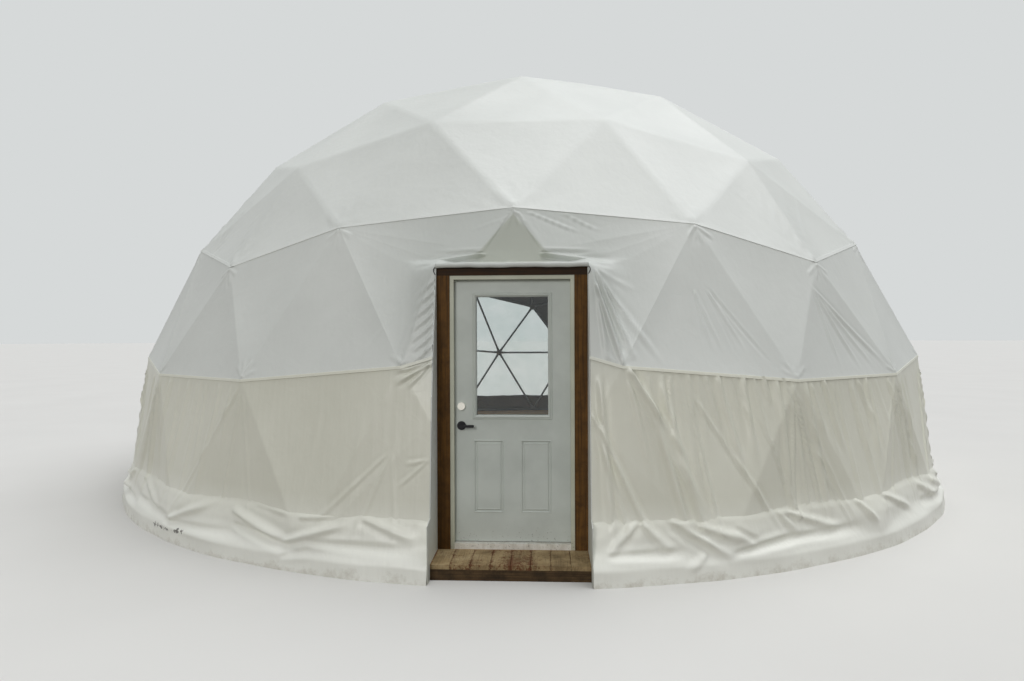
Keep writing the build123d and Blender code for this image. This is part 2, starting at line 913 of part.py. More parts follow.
def door_nodes():
    """Everything that swings with the door, by node."""
    half = glass_width / 2 + glass_edge
    middle = (leaf_face + leaf_back) / 2
    y = (-middle - glass_thickness / 2, -middle + glass_thickness / 2)
    glass = block((-half, half), y, (glass_low - glass_edge, glass_high + glass_edge))
    return {
        "door_leaf": [door_leaf()],
        "door_glass": [glass],
        "lite_frame_outside": [lite_frame(-leaf_face, 1)],
        "lite_frame_inside": [lite_frame(-leaf_back, -1)],
        "door_deadbolt": deadbolt(),
        "lever_roses": [lever_rose(-leaf_face, 1), lever_rose(-leaf_back, -1)],
        "hinges_on_leaf": [hinge_on_leaf(level) for level in hinge_levels()],
        "door_levers": [levers()],
    }


# Files

os.makedirs("parts", exist_ok=True)
for group in (
    platform_nodes(),
    frame_nodes(),
    cover_nodes(),
    skirt_nodes(),
    door_frame_nodes(),
    door_nodes(),
):
    for node_name, node_solids in group.items():
        write(node_name, node_solids)
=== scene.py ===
# %% [markdown]
# # A geodesic dome shelter, dressed in Blender
# The CAD model gives every size and place. This file gives the looks: the
# coated fabric with its seams and tension folds, the slack skirt, the tubes,
# the weathered boards and the door. Units are metres, +Z is up, and the door
# looks along -Y. Each piece is a surface worked out with numpy as whole arrays.

import bpy
import numpy as np
from mathutils import Matrix, Vector


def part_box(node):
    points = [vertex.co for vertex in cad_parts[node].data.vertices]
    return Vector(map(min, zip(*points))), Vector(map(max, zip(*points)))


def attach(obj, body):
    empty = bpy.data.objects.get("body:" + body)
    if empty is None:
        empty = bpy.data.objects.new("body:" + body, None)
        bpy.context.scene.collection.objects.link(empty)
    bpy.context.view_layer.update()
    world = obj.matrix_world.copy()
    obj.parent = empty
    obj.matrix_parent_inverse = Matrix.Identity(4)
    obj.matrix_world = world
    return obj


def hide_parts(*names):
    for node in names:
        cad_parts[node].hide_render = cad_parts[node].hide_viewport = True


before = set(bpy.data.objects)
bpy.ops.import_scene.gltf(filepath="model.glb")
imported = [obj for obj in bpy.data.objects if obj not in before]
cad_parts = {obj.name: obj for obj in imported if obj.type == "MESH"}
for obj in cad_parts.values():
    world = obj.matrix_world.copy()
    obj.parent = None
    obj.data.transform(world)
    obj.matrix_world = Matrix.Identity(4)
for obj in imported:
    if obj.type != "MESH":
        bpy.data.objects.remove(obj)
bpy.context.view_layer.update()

# %% [markdown]
# ## Sizes that the pieces share
# The crown of the cover and the header of the door fix the lattice and the
# doorway, so they are read from the frame and not typed in again. The opening
# in the cover leaves room beside the posts for the cloth that turns inwards
# there, and the cover's inside is a thousandth smaller than its outside.

# %% Sizes from the frame
COVER_RADIUS = 5.0
RETURN_ROOM = 0.0066
INSIDE_SCALE = 0.999
hub_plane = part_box("cover_crown")[1].z - COVER_RADIUS
header_low, header_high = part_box("door_header")
frame_front = -header_low.y
header_top = header_high.z
post_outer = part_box("door_post_right")[1].x
deck_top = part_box("floor_deck")[1].z
opening_half = (post_outer + RETURN_ROOM) / INSIDE_SCALE
centre = np.array([0.0, 0.0, hub_plane])
print("hub plane", round(hub_plane, 4), "header top", round(header_top, 4), "front", round(frame_front, 4))

# %% [markdown]
# ## Camera
# The photograph was taken from about eye height, nearly nine and a half metres
# from the middle of the dome and a little to the right of the door, with a wide
# lens. The place, the three angles and the lens below come from matching hubs of
# the lattice to the picture.

# %% The camera
CAMERA_PLACE = (0.245, -9.534, 1.725)
CAMERA_TURN = 0.0489
CAMERA_PITCH = -0.0062
CAMERA_ROLL = -0.0035
LENS = 23.19


def look(place, turn, pitch, roll):
    """World matrix of a camera: forward is +Y turned left and tipped, then rolled about itself."""
    forward = Vector((-np.sin(turn) * np.cos(pitch), np.cos(turn) * np.cos(pitch), np.sin(pitch)))
    right = forward.cross(Vector((0, 0, 1))).normalized()
    up = right.cross(forward)
    tilted = right * np.cos(roll) + up * np.sin(roll)
    matrix = Matrix((tilted, tilted.cross(forward), -forward)).transposed().to_4x4()
    matrix.translation = Vector(place)
    return matrix


camera = bpy.data.objects.new("camera", bpy.data.cameras.new("camera"))
bpy.context.scene.collection.objects.link(camera)
camera.data.lens = LENS
camera.data.sensor_width = 36.0
camera.data.sensor_fit = "HORIZONTAL"
camera.data.clip_end = 500.0
camera.matrix_world = look(CAMERA_PLACE, CAMERA_TURN, CAMERA_PITCH, CAMERA_ROLL)
bpy.context.scene.camera = camera
bpy.context.scene.view_settings.view_transform = "Standard"
print("camera", CAMERA_PLACE, "lens", LENS)

# %% [markdown]
# ## Colours and nodes
# Colours are written as sRGB hex values, as a paint chart gives them, and one
# function turns them to the linear light that Blender reckons in. One small
# function adds any node, with its settings and its links.

# %% Colour and node helpers


def linear(code, alpha=1.0):
    """sRGB hex to linear: each channel is divided by 12.92 below 0.04045, else raised to 2.4."""
    channels = np.array([int(code[i : i + 2], 16) for i in (1, 3, 5)]) / 255
    low, high = channels / 12.92, ((channels + 0.055) / 1.055) ** 2.4
    return (*np.where(channels <= 0.04045, low, high), alpha)


def add(tree, kind, inputs=None, stops=(), **settings):
    """A node: settings are attributes, inputs are values or sockets to link, stops are a ramp's colours."""
    made = tree.nodes.new("ShaderNode" + kind)
    for name, value in settings.items():
        setattr(made, name, value)
    for key, value in (inputs or {}).items():
        if isinstance(value, bpy.types.NodeSocket):
            tree.links.new(value, made.inputs[key])
        else:
            made.inputs[key].default_value = value
    for n, (place, code) in enumerate(stops):
        elements = made.color_ramp.elements
        element = elements[n] if n < 2 else elements.new(place)
        element.position = place
        element.color = linear(code)
    return made


# %% [markdown]
# A finish is built as a maker would build it: a base, coats over it that each
# show by their own share, and a relief. Every pattern is laid out in Object
# coordinates, which are true metres here because all pieces sit at the origin.

# %% Helpers for a finish


def material(name, **sockets):
    """A material with its shader's own sockets set: also its tree, its shader and the place on the object."""
    made = bpy.data.materials.new(name)
    made.use_nodes = True
    shader = made.node_tree.nodes["Principled BSDF"]
    for key, value in sockets.items():
        shader.inputs[key.replace("_", " ")].default_value = value
    print("material", name)
    return made, made.node_tree, shader, add(made.node_tree, "TexCoord").outputs["Object"]


def layered(tree, base, layers):
    """Coats of colour over a base, one after another: each is a share from 0 to 1 and a hex colour."""
    for share, code in layers:
        coat = {"Factor": share, 6: base, 7: linear(code)}
        base = add(tree, "Mix", coat, data_type="RGBA").outputs[2]
    return base


def all_of(tree, shares):
    """Several shares multiplied together."""
    total = shares[0]
    for share in shares[1:]:
        total = add(tree, "Math", {0: total, 1: share}, operation="MULTIPLY").outputs[0]
    return total


def finish(tree, shader, colour, relief=None, strength=1.0, distance=0.001):
    """Leads a colour into the shader, and a relief that stands a distance proud, if there is one."""
    tree.links.new(colour, shader.inputs["Base Color"])
    if relief is not None:
        bump = add(tree, "Bump", {"Strength": strength, "Distance": distance, "Height": relief})
        tree.links.new(bump.outputs[0], shader.inputs["Normal"])


def two_tone(name, scale, detail, stops, **sockets):
    """A finish that wanders between close tones as a noise does; also the noise, the tree and the shader."""
    made, tree, shader, place = material(name, **sockets)
    noise = add(tree, "TexNoise", {"Vector": place, "Scale": scale, "Detail": detail}).outputs["Fac"]
    finish(tree, shader, add(tree, "ValToRGB", {"Fac": noise}, stops).outputs[0])
    return made, noise, tree, shader


# %% [markdown]
# ## Stage and light
# The photograph's light is an overcast sky that is brightest overhead, to the
# right and behind the dome, dim low down at both sides, and open in front. Here
# one very broad lamp stands for the sky overhead and another for the open front,
# over a faint sky. What the camera sees behind the dome is set apart from what
# lights it, and the floor is pale to the eye but throws back only as much light
# as a dull one does. Each lamp has the side that it shines from, its power, its
# width in degrees, its share in highlights and its tint.

# %% The stage
SKY_COLOUR = "#D6D9D9"
BRIGHT_SIDE = (0.0, 0.30, 0.95)
LAMPS = {
    "open_sky": ((0.33, 0.14, 0.94), 1.95, 60, 0.3, (0.98, 0.99, 1.0)),
    "open_front": ((-0.26, -0.90, 0.34), 1.0, 24, 1.0, (1.0, 0.99, 0.97)),
}

world = bpy.data.worlds.new("overcast")
bpy.context.scene.world = world
world.use_nodes = True
tree = world.node_tree
tree.nodes.clear()


def seen_directly(tree):
    """1 for rays that the camera sees straight, in a mirror or through glass, and 0 for light."""
    rays = add(tree, "LightPath").outputs
    seen = add(tree, "Math", {0: rays["Is Camera Ray"], 1: rays["Is Glossy Ray"]}, operation="MAXIMUM")
    seen = add(tree, "Math", {0: seen.outputs[0], 1: rays["Is Transmission Ray"]}, operation="MAXIMUM")
    return seen.outputs[0]


way = add(tree, "TexCoord").outputs["Generated"]
facing = add(tree, "VectorMath", {0: way, 1: BRIGHT_SIDE}, operation="DOT_PRODUCT").outputs["Value"]
power = add(tree, "MapRange", {"Value": facing, "From Min": -0.6, "To Min": 0.08, "To Max": 0.36})
light = add(tree, "Background", {"Color": linear("#EEF1F4"), "Strength": power.outputs[0]})
shown = add(tree, "Background", {"Color": linear(SKY_COLOUR), "Strength": 1.0})
mixed = add(tree, "MixShader", {0: seen_directly(tree), 1: light.outputs[0], 2: shown.outputs[0]})
add(tree, "OutputWorld", {"Surface": mixed.outputs[0]})

for name, (side, power, spread, shine, tint) in LAMPS.items():
    lamp_data = bpy.data.lights.new(name, "SUN")
    lamp_data.energy = power
    lamp_data.angle = np.radians(spread)
    lamp_data.specular_factor = shine
    lamp_data.color = tint
    lamp = bpy.data.objects.new(name, lamp_data)
    bpy.context.scene.collection.objects.link(lamp)
    lamp.matrix_world = Vector(side).to_track_quat("Z", "Y").to_matrix().to_4x4()
    print("lamp", name, "power", power, "width", spread)

# %% [markdown]
# ## Putting arrays into a mesh
# Every new piece ends here: points and faces go in by foreach_set, as whole
# arrays, and the piece is told which moving body of the CAD model it rides on.

# %% The mesh helper


def piece(name, points, faces, surface, body="shelter", smooth=True):
    """A mesh from whole arrays, at the origin, with its material and the CAD body that it moves with."""
    points = np.asarray(points, float).reshape(-1, 3)
    groups = faces if isinstance(faces, list) else [faces]
    corners = np.concatenate([g.ravel() for g in groups]).astype(np.int32)
    sides = np.concatenate([np.full(len(g), g.shape[1]) for g in groups])
    mesh = bpy.data.meshes.new(name)
    mesh.vertices.add(len(points))
    mesh.vertices.foreach_set("co", points.ravel().astype(np.float32))
    mesh.loops.add(len(corners))
    mesh.loops.foreach_set("vertex_index", corners)
    mesh.polygons.add(len(sides))
    mesh.polygons.foreach_set("loop_start", (np.cumsum(sides) - sides).astype(np.int32))
    mesh.update(calc_edges=True)
    mesh.polygons.foreach_set("use_smooth", np.full(len(sides), smooth))
    mesh.materials.append(surface)
    made = bpy.data.objects.new(name, mesh)
    bpy.context.scene.collection.objects.link(made)
    if body:
        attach(made, body)
    print(name, len(points), "points", len(sides), "faces")
    return made


# %% [markdown]
# Three helpers shape the arrays: faces for a grid of points, a weld for points
# that agree, and a wall of the cloth's own thickness behind an open sheet.

# %% Grid, weld and wall


def grid_faces(rows, columns, closed=False):
    """Quads over a grid of points, row by row; closed joins the last column to the first."""
    i, j = np.meshgrid(np.arange(rows - 1), np.arange(columns if closed else columns - 1), indexing="ij")
    k = (j + 1) % columns
    quads = [i * columns + j, i * columns + k, (i + 1) * columns + k, (i + 1) * columns + j]
    return np.stack(quads, -1).reshape(-1, 4)


def weld(points, faces, tolerance=1e-4):
    """Points that agree to the tolerance become one, and the faces follow; also which points were kept."""
    keys = np.round(points / tolerance).astype(np.int64)
    _, first, again = np.unique(keys, axis=0, return_index=True, return_inverse=True)
    faces = again.reshape(-1)[faces]
    return points[first], faces, first


def thicken(made, thickness):
    """A wall of that thickness behind the outside of a sheet, with its open border kept sharp."""
    mesh = made.data
    edge_of_corner = np.zeros(len(mesh.loops), np.int32)
    mesh.loops.foreach_get("edge_index", edge_of_corner)
    border = np.bincount(edge_of_corner, minlength=len(mesh.edges)) == 1
    mesh.edges.foreach_set("use_edge_sharp", border)
    wall = made.modifiers.new("wall", "SOLIDIFY")
    wall.thickness = thickness
    wall.offset = -1.0
    wall.use_even_offset = False
    return made


# %% The floor under the dome
DULL_FLOOR = "#6A645B"
floor_paint, tree, shader, place = material("matt_floor_paint", Roughness=0.95)
blotch = add(tree, "TexNoise", {"Vector": place, "Scale": 0.6, "Detail": 3.0}).outputs["Fac"]
tone = add(tree, "ValToRGB", {"Fac": blotch}, [(0.3, "#DDDCD9"), (0.7, "#E0DFDC")]).outputs[0]
seen = {"Factor": seen_directly(tree), 6: linear(DULL_FLOOR), 7: tone}
finish(tree, shader, add(tree, "Mix", seen, data_type="RGBA").outputs[2])
turn = np.linspace(0, 2 * np.pi, 96, endpoint=False)
reach = np.array([0.01, 6.0, 14.0, 60.0, 240.0])
flat = np.zeros((len(reach), len(turn)))
disc = np.stack([reach[:, None] * np.cos(turn), reach[:, None] * np.sin(turn), flat], -1)
floor = piece("floor", disc, grid_faces(len(reach), len(turn), closed=True), floor_paint, body=None)

# %% [markdown]
# ## The lattice
# The dome is half of an icosahedron whose edges are divided in four and whose
# points are pushed out to one sphere. The same triangular grid of weights that
# divides an icosahedron's face into facets later divides a facet into a mesh.

# %% Helpers for triangles


def triangle_grid(count):
    """Weights of the corners over a triangle cut count times along each edge, and its small triangles."""
    i, j = np.meshgrid(np.arange(count + 1), np.arange(count + 1), indexing="ij")
    inside = i + j <= count
    index = np.full(i.shape, -1)
    index[inside] = np.arange(inside.sum())
    weights = np.stack([count - i - j, i, j], -1)[inside] / count
    low = (i + j < count)[:-1, :-1]
    high = (i + j < count - 1)[:-1, :-1]
    here, right, up, far = index[:-1, :-1], index[1:, :-1], index[:-1, 1:], index[1:, 1:]
    faces = [np.stack([here[low], right[low], up[low]], -1), np.stack([right[high], far[high], up[high]], -1)]
    return weights, np.concatenate(faces)


def cross_of(corners):
    """Cross product of two sides of each triangle: it lies along the normal and is twice the area long."""
    return np.cross(corners[:, 1] - corners[:, 0], corners[:, 2] - corners[:, 0])


def area(corners):
    """Area of triangles: half the length of the cross product of two sides, added up."""
    return np.linalg.norm(cross_of(corners), axis=-1).sum() / 2


def outward(corners, middle=np.zeros(3)):
    """Triangles with their corners put in the order that faces away from a middle."""
    wrong = ((corners.mean(1) - middle) * cross_of(corners)).sum(-1) < 0
    return np.where(wrong[:, None, None], corners[:, ::-1], corners)


def edges_of(faces):
    """Each edge of triangles once, as the numbers of its two points, and how many triangles share it."""
    pairs = np.sort(faces[:, [[0, 1], [1, 2], [2, 0]]].reshape(-1, 2), -1)
    return np.unique(pairs, axis=0, return_counts=True)


# %% Lattice of the dome


def geodesic(frequency=4):
    """Facets of the upper half of the divided icosahedron, as unit directions of their corners."""
    level, spread = 1 / np.sqrt(5), 2 / np.sqrt(5)
    turn = np.radians(72 * np.arange(5))
    half_turn = turn + np.pi / 5
    upper = np.stack([spread * np.sin(half_turn), -spread * np.cos(half_turn), np.full(5, level)], -1)
    lower = np.stack([spread * np.sin(turn), -spread * np.cos(turn), np.full(5, -level)], -1)
    top = np.tile([0.0, 0.0, 1.0], (5, 1))
    before, after = np.roll(upper, 1, 0), np.roll(lower, -1, 0)
    kinds = ((top, before, upper), (lower, before, upper), (upper, lower, after))
    faces = np.concatenate([np.stack(kind, 1) for kind in kinds])
    weights, cells = triangle_grid(frequency)
    points = weights @ faces
    points /= np.linalg.norm(points, axis=-1, keepdims=True)
    facets = points[:, cells].reshape(-1, 3, 3)
    return outward(facets[facets[..., 2].min(-1) > -1e-6])


facets = geodesic()
facet_corners = facets.reshape(-1, 3)
unit_hubs = np.unique(np.round(facet_corners, 6), axis=0)
print("facets", len(facets), "hubs", len(unit_hubs))

# %% [markdown]
# ## Which facet belongs to which piece
# The cover is welded from three bands, and its seams run along the rings of
# hubs: a cap over the upper rings, a band below it, and the lowest band in a
# warmer cloth. A bay at the back left is clear, and widens towards the ground.
# The doorway cuts the facets in front, where the cloth is drawn forward over the
# ends of the header. Levels are heights on the unit sphere: the crown is the hub
# over the door, and a knee and a shoulder are beside it.

# %% Sorting the facets
WINDOW_ANGLE = -144.0
WINDOW_HALF = 36.0
WINDOW_WIDENS = 18
WINDOW_TOP = 0.4472
CAP_FROM = 0.4
MIDDLE_FROM = 0.1
CROWN_LEVEL = 0.5257
SHOULDER_LEVEL = 0.5023
KNEE_LEVEL = 0.2764
KNEE_ANGLE = 9.7
SHOULDER_ANGLE = 20
FOOT_ANGLE = 18


def azimuth(points):
    """Angle round from the door, in degrees, positive to the right of someone who faces it."""
    return np.degrees(np.arctan2(points[..., 0], -points[..., 1]))


def angle_from(points, angle):
    """How many degrees round the dome points are away from an azimuth, from 0 to 180."""
    return np.abs((azimuth(points) - angle + 180) % 360 - 180)


def at_front(level):
    """Which corners of the facets are the hub straight over the door's middle at a level."""
    off = np.abs(facets[..., 0]) + np.abs(facets[..., 2] - level)
    return (off < 1e-3) & (facets[..., 1] < 0)


lowest = facets[..., 2].min(-1)
middle = facets.mean(1)
middle /= np.linalg.norm(middle, axis=-1, keepdims=True)
window_half = WINDOW_HALF + WINDOW_WIDENS * (WINDOW_TOP - middle[:, 2]) / WINDOW_TOP
in_window = (lowest < CAP_FROM) & (angle_from(middle, WINDOW_ANGLE) < window_half)
cut_away = (at_front(CROWN_LEVEL).any(-1) & (lowest < CAP_FROM)) | at_front(0).any(-1)
band = np.where(lowest > CAP_FROM, "cap", np.where(lowest > MIDDLE_FROM, "middle", "lowest"))
print({name: int((band == name).sum()) for name in ("cap", "middle", "lowest")})

# %% [markdown]
# ### Round the doorway
# The two tubes under the crown of the doorway still print through the cloth.
# Below them it drops to the height of the header, runs forward nearly level over
# its top to the hem, and beside the door it is stretched from the header's
# corner back to the next tube. A ridge like an eyebrow follows the inner edge,
# and the seam beside the door is pulled up. The heights are over the header.

# %% Finding points of the cover
HEM_TOP = header_top + 0.003
SEAM_RISE = 0.07
LEAVES_TUBE = 0.115
APRON_BACK = 0.030
BROW = 0.038
OUTER_DROP = 0.050
OUTER_SHARE = 0.62
CORNER_PROUD = 0.006
HEM_PROUD = 0.019
DRAWN_IN = 0.030
CREASE_REACH = 0.13


def off_hub(points, angle, level):
    """How far directions miss an azimuth and a level: degrees over 60 plus the difference in level."""
    return angle_from(points, angle) / 60 + np.abs(points[:, 2] - level)


def hub(angle, level):
    """Corner of the cover nearest to an azimuth and a height on the unit sphere."""
    return centre + facet_corners[off_hub(facet_corners, angle, level).argmin()] * COVER_RADIUS


def between(a, b, place, axis=0):
    """Point of the line from a to b where one of its coordinates has a value."""
    return a + (b - a) * (place - a[axis]) / (b[axis] - a[axis])


# %% Cloth beside the doorway


def doorway(side):
    """Beside the doorway: triangles of the middle and of the lowest band, the apron's edge and creases."""
    crown, shoulder = hub(0, CROWN_LEVEL), hub(side * SHOULDER_ANGLE, SHOULDER_LEVEL)
    knee, foot = hub(side * KNEE_ANGLE, KNEE_LEVEL), hub(side * FOOT_ANGLE, 0)
    sill = centre + np.array([0, -COVER_RADIUS, 0])
    width = side * opening_half
    landing = between(crown, knee, header_top + LEAVES_TUBE, 2)
    behind = between(crown, knee, header_top + APRON_BACK, 2)
    corner = np.array([width, -(frame_front + CORNER_PROUD), header_top + CORNER_PROUD])
    hem_end = np.array([behind[0], -(frame_front + HEM_PROUD), HEM_TOP])
    across = np.cross(knee - crown, shoulder - crown)
    inner = np.array([width, 0, header_top + BROW])
    inner[1] = crown[1] - (across[[0, 2]] * (inner - crown)[[0, 2]]).sum() / across[1]
    outer = between(shoulder, knee, header_top - OUTER_DROP, 2)
    outer = outer + (inner - outer) * OUTER_SHARE
    level = np.array([width, knee[1], knee[2] + SEAM_RISE])
    low, base = between(knee, sill, width), between(foot, sill, width)
    upper = [[crown, landing, shoulder], [landing, inner, shoulder], [inner, outer, shoulder]]
    upper += [[shoulder, outer, knee], [landing, behind, inner], [behind, corner, inner]]
    upper += [[inner, corner, outer], [behind, hem_end, corner], [knee, outer, corner], [knee, corner, level]]
    lower = [[knee, level, low], [knee, low, foot], [low, base, foot]]
    drawn = (landing + behind) / 2 * np.array([0, 1, 1])
    creases = []
    if side > 0:
        creases.append((crown + (drawn - crown) * 0.2, drawn + np.array([0, DRAWN_IN, 0]), 0.08))
    creases.append((outer + (knee - outer) * 0.05, outer + (knee - outer) * 0.8, CREASE_REACH))
    creases.append((corner + (outer - corner) * 0.35, outer, CREASE_REACH))
    return np.array(upper), np.array(lower), (landing, behind, hem_end), creases


# %% Cloth over the door


def over_door():
    """The triangle under the crown of the doorway and the apron below it, down to the hem."""
    left, right = doorway(-1)[2], doorway(1)[2]
    drawn_in = np.array([[0, DRAWN_IN, 0.010], [0, 0.024, 0], [0, 0, 0]])
    mid = (np.array(left) + np.array(right)) / 2 + drawn_in
    crown = hub(0, CROWN_LEVEL)
    triangles = [[crown, left[0], mid[0]], [crown, mid[0], right[0]]]
    for row in (0, 1):
        for side in (left, right):
            triangles += [[side[row], side[row + 1], mid[row + 1]], [side[row], mid[row + 1], mid[row]]]
    return np.array(triangles)


print("triangles over the door", len(over_door()))

# %% [markdown]
# ## Folds in coated cloth
# Stretched cloth lies flat between the tubes, and where it is pulled at a
# point it makes long straight folds that fan out from there. Each fold is a
# line on the wall, unrolled into distance round the dome and height, with a
# ridge between two shallow valleys across it. The heights of all the folds are
# added, so a few dozen lines make a wall that looks pulled into place.

# %% The height of folds


def unroll(points):
    """Distance round the dome from the door at its full radius, and height above the ground."""
    return np.radians(azimuth(points)) * COVER_RADIUS, points[..., 2]


def smoothstep(x):
    """0 below 0, 1 above 1, and a smooth turn between."""
    x = np.clip(x, 0, 1)
    return x * x * (3 - 2 * x)


def folds(around, height, lines):
    """Sum of ridges: 1 minus twice the squared distance in widths, times a bell, faded at the ends.

    A line is its start, its end, the width at each, and the height of the ridge, all in metres.
    """
    lines = np.asarray(lines, float)
    total = np.zeros(around.shape)
    for first in range(0, len(lines), 24):
        part = lines[first : first + 24]
        way = part[:, 2:4] - part[:, 0:2]
        length = np.hypot(*way.T)
        dx, dy = around[:, None] - part[:, 0], height[:, None] - part[:, 1]
        along = (dx * way[:, 0] + dy * way[:, 1]) / length**2
        across = (dx * way[:, 1] - dy * way[:, 0]) / length
        width = part[:, 4] + (part[:, 5] - part[:, 4]) * np.clip(along, 0, 1)
        x = (across / width) ** 2
        fade = smoothstep(along / 0.12) * smoothstep((1 - along) / 0.35)
        total += (part[:, 6] * fade * (1 - 2 * x) * np.exp(-x)).sum(-1)
    return total


def held(rise, room):
    """Dips no deeper than the room behind the cloth: room times 1 minus the exponential of rise over room."""
    return np.where(rise < 0, -room * (1 - np.exp(np.minimum(rise, 0) / room)), rise)


# %% [markdown]
# Four kinds of folds are laid out as such lines: a fan from one point, folds
# that hang from a seam, short puckers at a hub, and lines carried on to the foot.

# %% Kinds of folds
UPPER_RING = (0.43, 0.54)
LOWER_RING = (0.24, 0.29)


def run_down(lines, foot, above=0.6):
    """Folds whose lower end is below a height are carried on along the same line to the foot."""
    lines = np.array(lines, float)
    low = lines[:, 3] < above
    share = (foot - lines[low, 1]) / (lines[low, 3] - lines[low, 1])
    lines[low, 2] = lines[low, 0] + (lines[low, 2] - lines[low, 0]) * share
    lines[low, 3] = foot
    return lines


def fan(start, width, ends):
    """Folds from one point to several ends, each an end and the height of its ridge, widening as they run."""
    return [[*start, around, height, width * 0.6, width, ridge] for around, height, ridge in ends]


def fans(rows):
    """The folds of several fans, each row a start, a width and the ends."""
    return [line for row in rows for line in fan(*row)]


def hanging(first, last, step, top, drop, lean, ridge, seed):
    """Folds that hang from a seam, at steps along it, each a little longer or steeper than the last."""
    random = np.random.default_rng(seed)
    places = np.arange(first, last, step)
    shake = random.uniform(-1, 1, (4, len(places)))
    start = places + shake[0] * step * 0.3
    end = start + lean * (1 + 0.8 * shake[1])
    foot = top - drop * (1 + 0.45 * shake[2])
    rise = ridge * (1 + 0.7 * shake[3])
    column = np.ones(len(places))
    width = 0.013 + 0.08 * step
    return np.stack([start, column * top, end, foot, column * width, column * width * 1.6, rise], -1).tolist()


def between_levels(ring):
    """Unit directions of the hubs between two levels."""
    return unit_hubs[(unit_hubs[:, 2] > ring[0]) & (unit_hubs[:, 2] < ring[1])]


def puckers(ring, way, reach, ridge, seed):
    """Short folds gathered at each hub of a ring, running up or down from it."""
    random = np.random.default_rng(seed)
    lines = []
    for around, height in zip(*unroll(centre + between_levels(ring) * COVER_RADIUS)):
        across = np.linspace(-0.8, 0.8, 5) * reach + random.uniform(-0.04, 0.04, 5)
        along = reach * random.uniform(0.6, 1.2, 5) * np.cos(np.linspace(-0.9, 0.9, 5))
        ends = zip(around + across, height + way * along, ridge * random.uniform(0.4, 1.3, 5))
        lines += fan((around, height + way * 0.01), 0.030, ends)
    return lines


# %% [markdown]
# To the right of the door the cloth carries its strongest folds: from the end
# of the header down past the first hub, then fans from each hub and short
# ripples under the seam. The left is smoother, with small wrinkles beside the
# post. Each row is a fan: its start, its width, and its ends with their ridges.

# %% Folds of the middle band in front
HEADER_END = (0.69, 2.24)
middle_folds = fans(
    [
        (HEADER_END, 0.034, [(0.97, 1.52, 0.025), (1.20, 1.50, 0.010), (1.08, 2.06, 0.004)]),
        ((0.68, 2.14), 0.034, [(0.88, 1.44, 0.025), (0.74, 1.46, 0.010)]),
        (HEADER_END, 0.020, [(1.14, 1.53, 0.006)]),
        ((1.60, 2.10), 0.024, [(1.66, 1.58, 0.007), (1.76, 1.58, 0.006), (1.62, 1.62, 0.004)]),
        ((1.70, 2.15), 0.020, [(2.17, 1.50, -0.007), (1.98, 1.58, 0.007), (1.88, 1.56, -0.004)]),
        ((2.95, 2.15), 0.034, [(3.05, 1.44, 0.009), (3.37, 1.41, 0.010)]),
        ((2.95, 2.15), 0.034, [(3.80, 1.44, 0.009), (3.60, 1.42, 0.007)]),
        ((0.12, 2.73), 0.022, [(0.64, 2.54, 0.006), (-0.42, 2.56, 0.002)]),
        ((0.46, 2.72), 0.022, [(0.84, 2.55, 0.005)]),
        ((-0.62, 1.64), 0.020, [(-0.92, 1.50, 0.005), (-0.90, 1.56, 0.004)]),
        ((-0.69, 2.24), 0.030, [(-0.90, 1.56, 0.004), (-1.30, 1.50, 0.002)]),
    ]
)
over_the_header = [
    (0.22, 2.365, 0.030, 0.90, 2.290, 0.026),
    (0.24, 2.395, 0.022, 0.72, 2.375, -0.010),
    (0.02, 2.740, 0.020, 0.29, 2.360, 0.004),
]
for x, z, width, end_x, end_z, ridge in over_the_header:
    for side in (1, -1):
        middle_folds += fan((side * x, z), width, [(side * end_x, end_z, ridge)])
middle_folds.append([-0.06, 2.735, 0.08, 2.722, 0.014, 0.014, -0.010])
middle_folds.append([-0.02, 2.74, 0.10, 2.67, 0.014, 0.020, 0.006])
middle_folds += puckers(UPPER_RING, -1, 0.20, 0.005, 31) + puckers(LOWER_RING, 1, 0.17, 0.004, 32)
for height in np.arange(1.66, 2.22, 0.085):
    ends = [(-0.80, height - 0.15, 0.009), (-0.70, height - 0.14, -0.005)]
    middle_folds += fan((-0.60, height), 0.026, ends)

# %% Folds of the lowest band in front
SEAM = 1.45
lowest_folds = fans(
    [
        ((0.88, 1.51), 0.040, [(1.20, 1.02, 0.014), (1.34, 0.80, 0.010)]),
        ((0.88, 1.51), 0.040, [(1.46, 0.45, 0.006), (1.06, 0.60, 0.006)]),
        ((0.60, 1.20), 0.036, [(0.96, 0.42, 0.009), (0.82, 0.44, 0.008)]),
        ((1.38, 1.35), 0.030, [(1.52, 0.40, 0.010), (2.02, 0.38, 0.008)]),
        ((2.32, 1.36), 0.028, [(2.27, 0.40, 0.010), (2.56, 0.38, 0.012)]),
        ((2.32, 1.36), 0.028, [(2.42, 0.40, 0.008), (2.76, 0.50, 0.006)]),
        ((3.86, 1.36), 0.030, [(3.36, 0.42, 0.004), (3.60, 0.40, 0.007)]),
        ((3.86, 1.36), 0.030, [(4.02, 0.40, 0.008), (4.30, 0.40, 0.008)]),
        ((5.30, 1.46), 0.030, [(4.60, 0.40, 0.010), (5.00, 0.40, 0.010), (5.5, 0.4, 0.009)]),
        ((-3.90, 1.36), 0.030, [(-3.70, 0.40, 0.006), (-4.05, 0.39, 0.009), (-4.35, 0.4, 0.009)]),
        ((-5.30, 1.46), 0.030, [(-4.60, 0.40, 0.009), (-5.00, 0.40, 0.010), (-5.5, 0.4, 0.009)]),
        ((-2.36, 1.36), 0.030, [(-2.53, 0.42, 0.005), (-3.05, 0.42, 0.006), (-2.2, 0.42, 0.003)]),
        ((-0.90, 0.90), 0.034, [(-1.10, 0.42, 0.0022), (-1.42, 0.42, 0.0022), (-0.86, 0.44, 0.002)]),
    ]
)
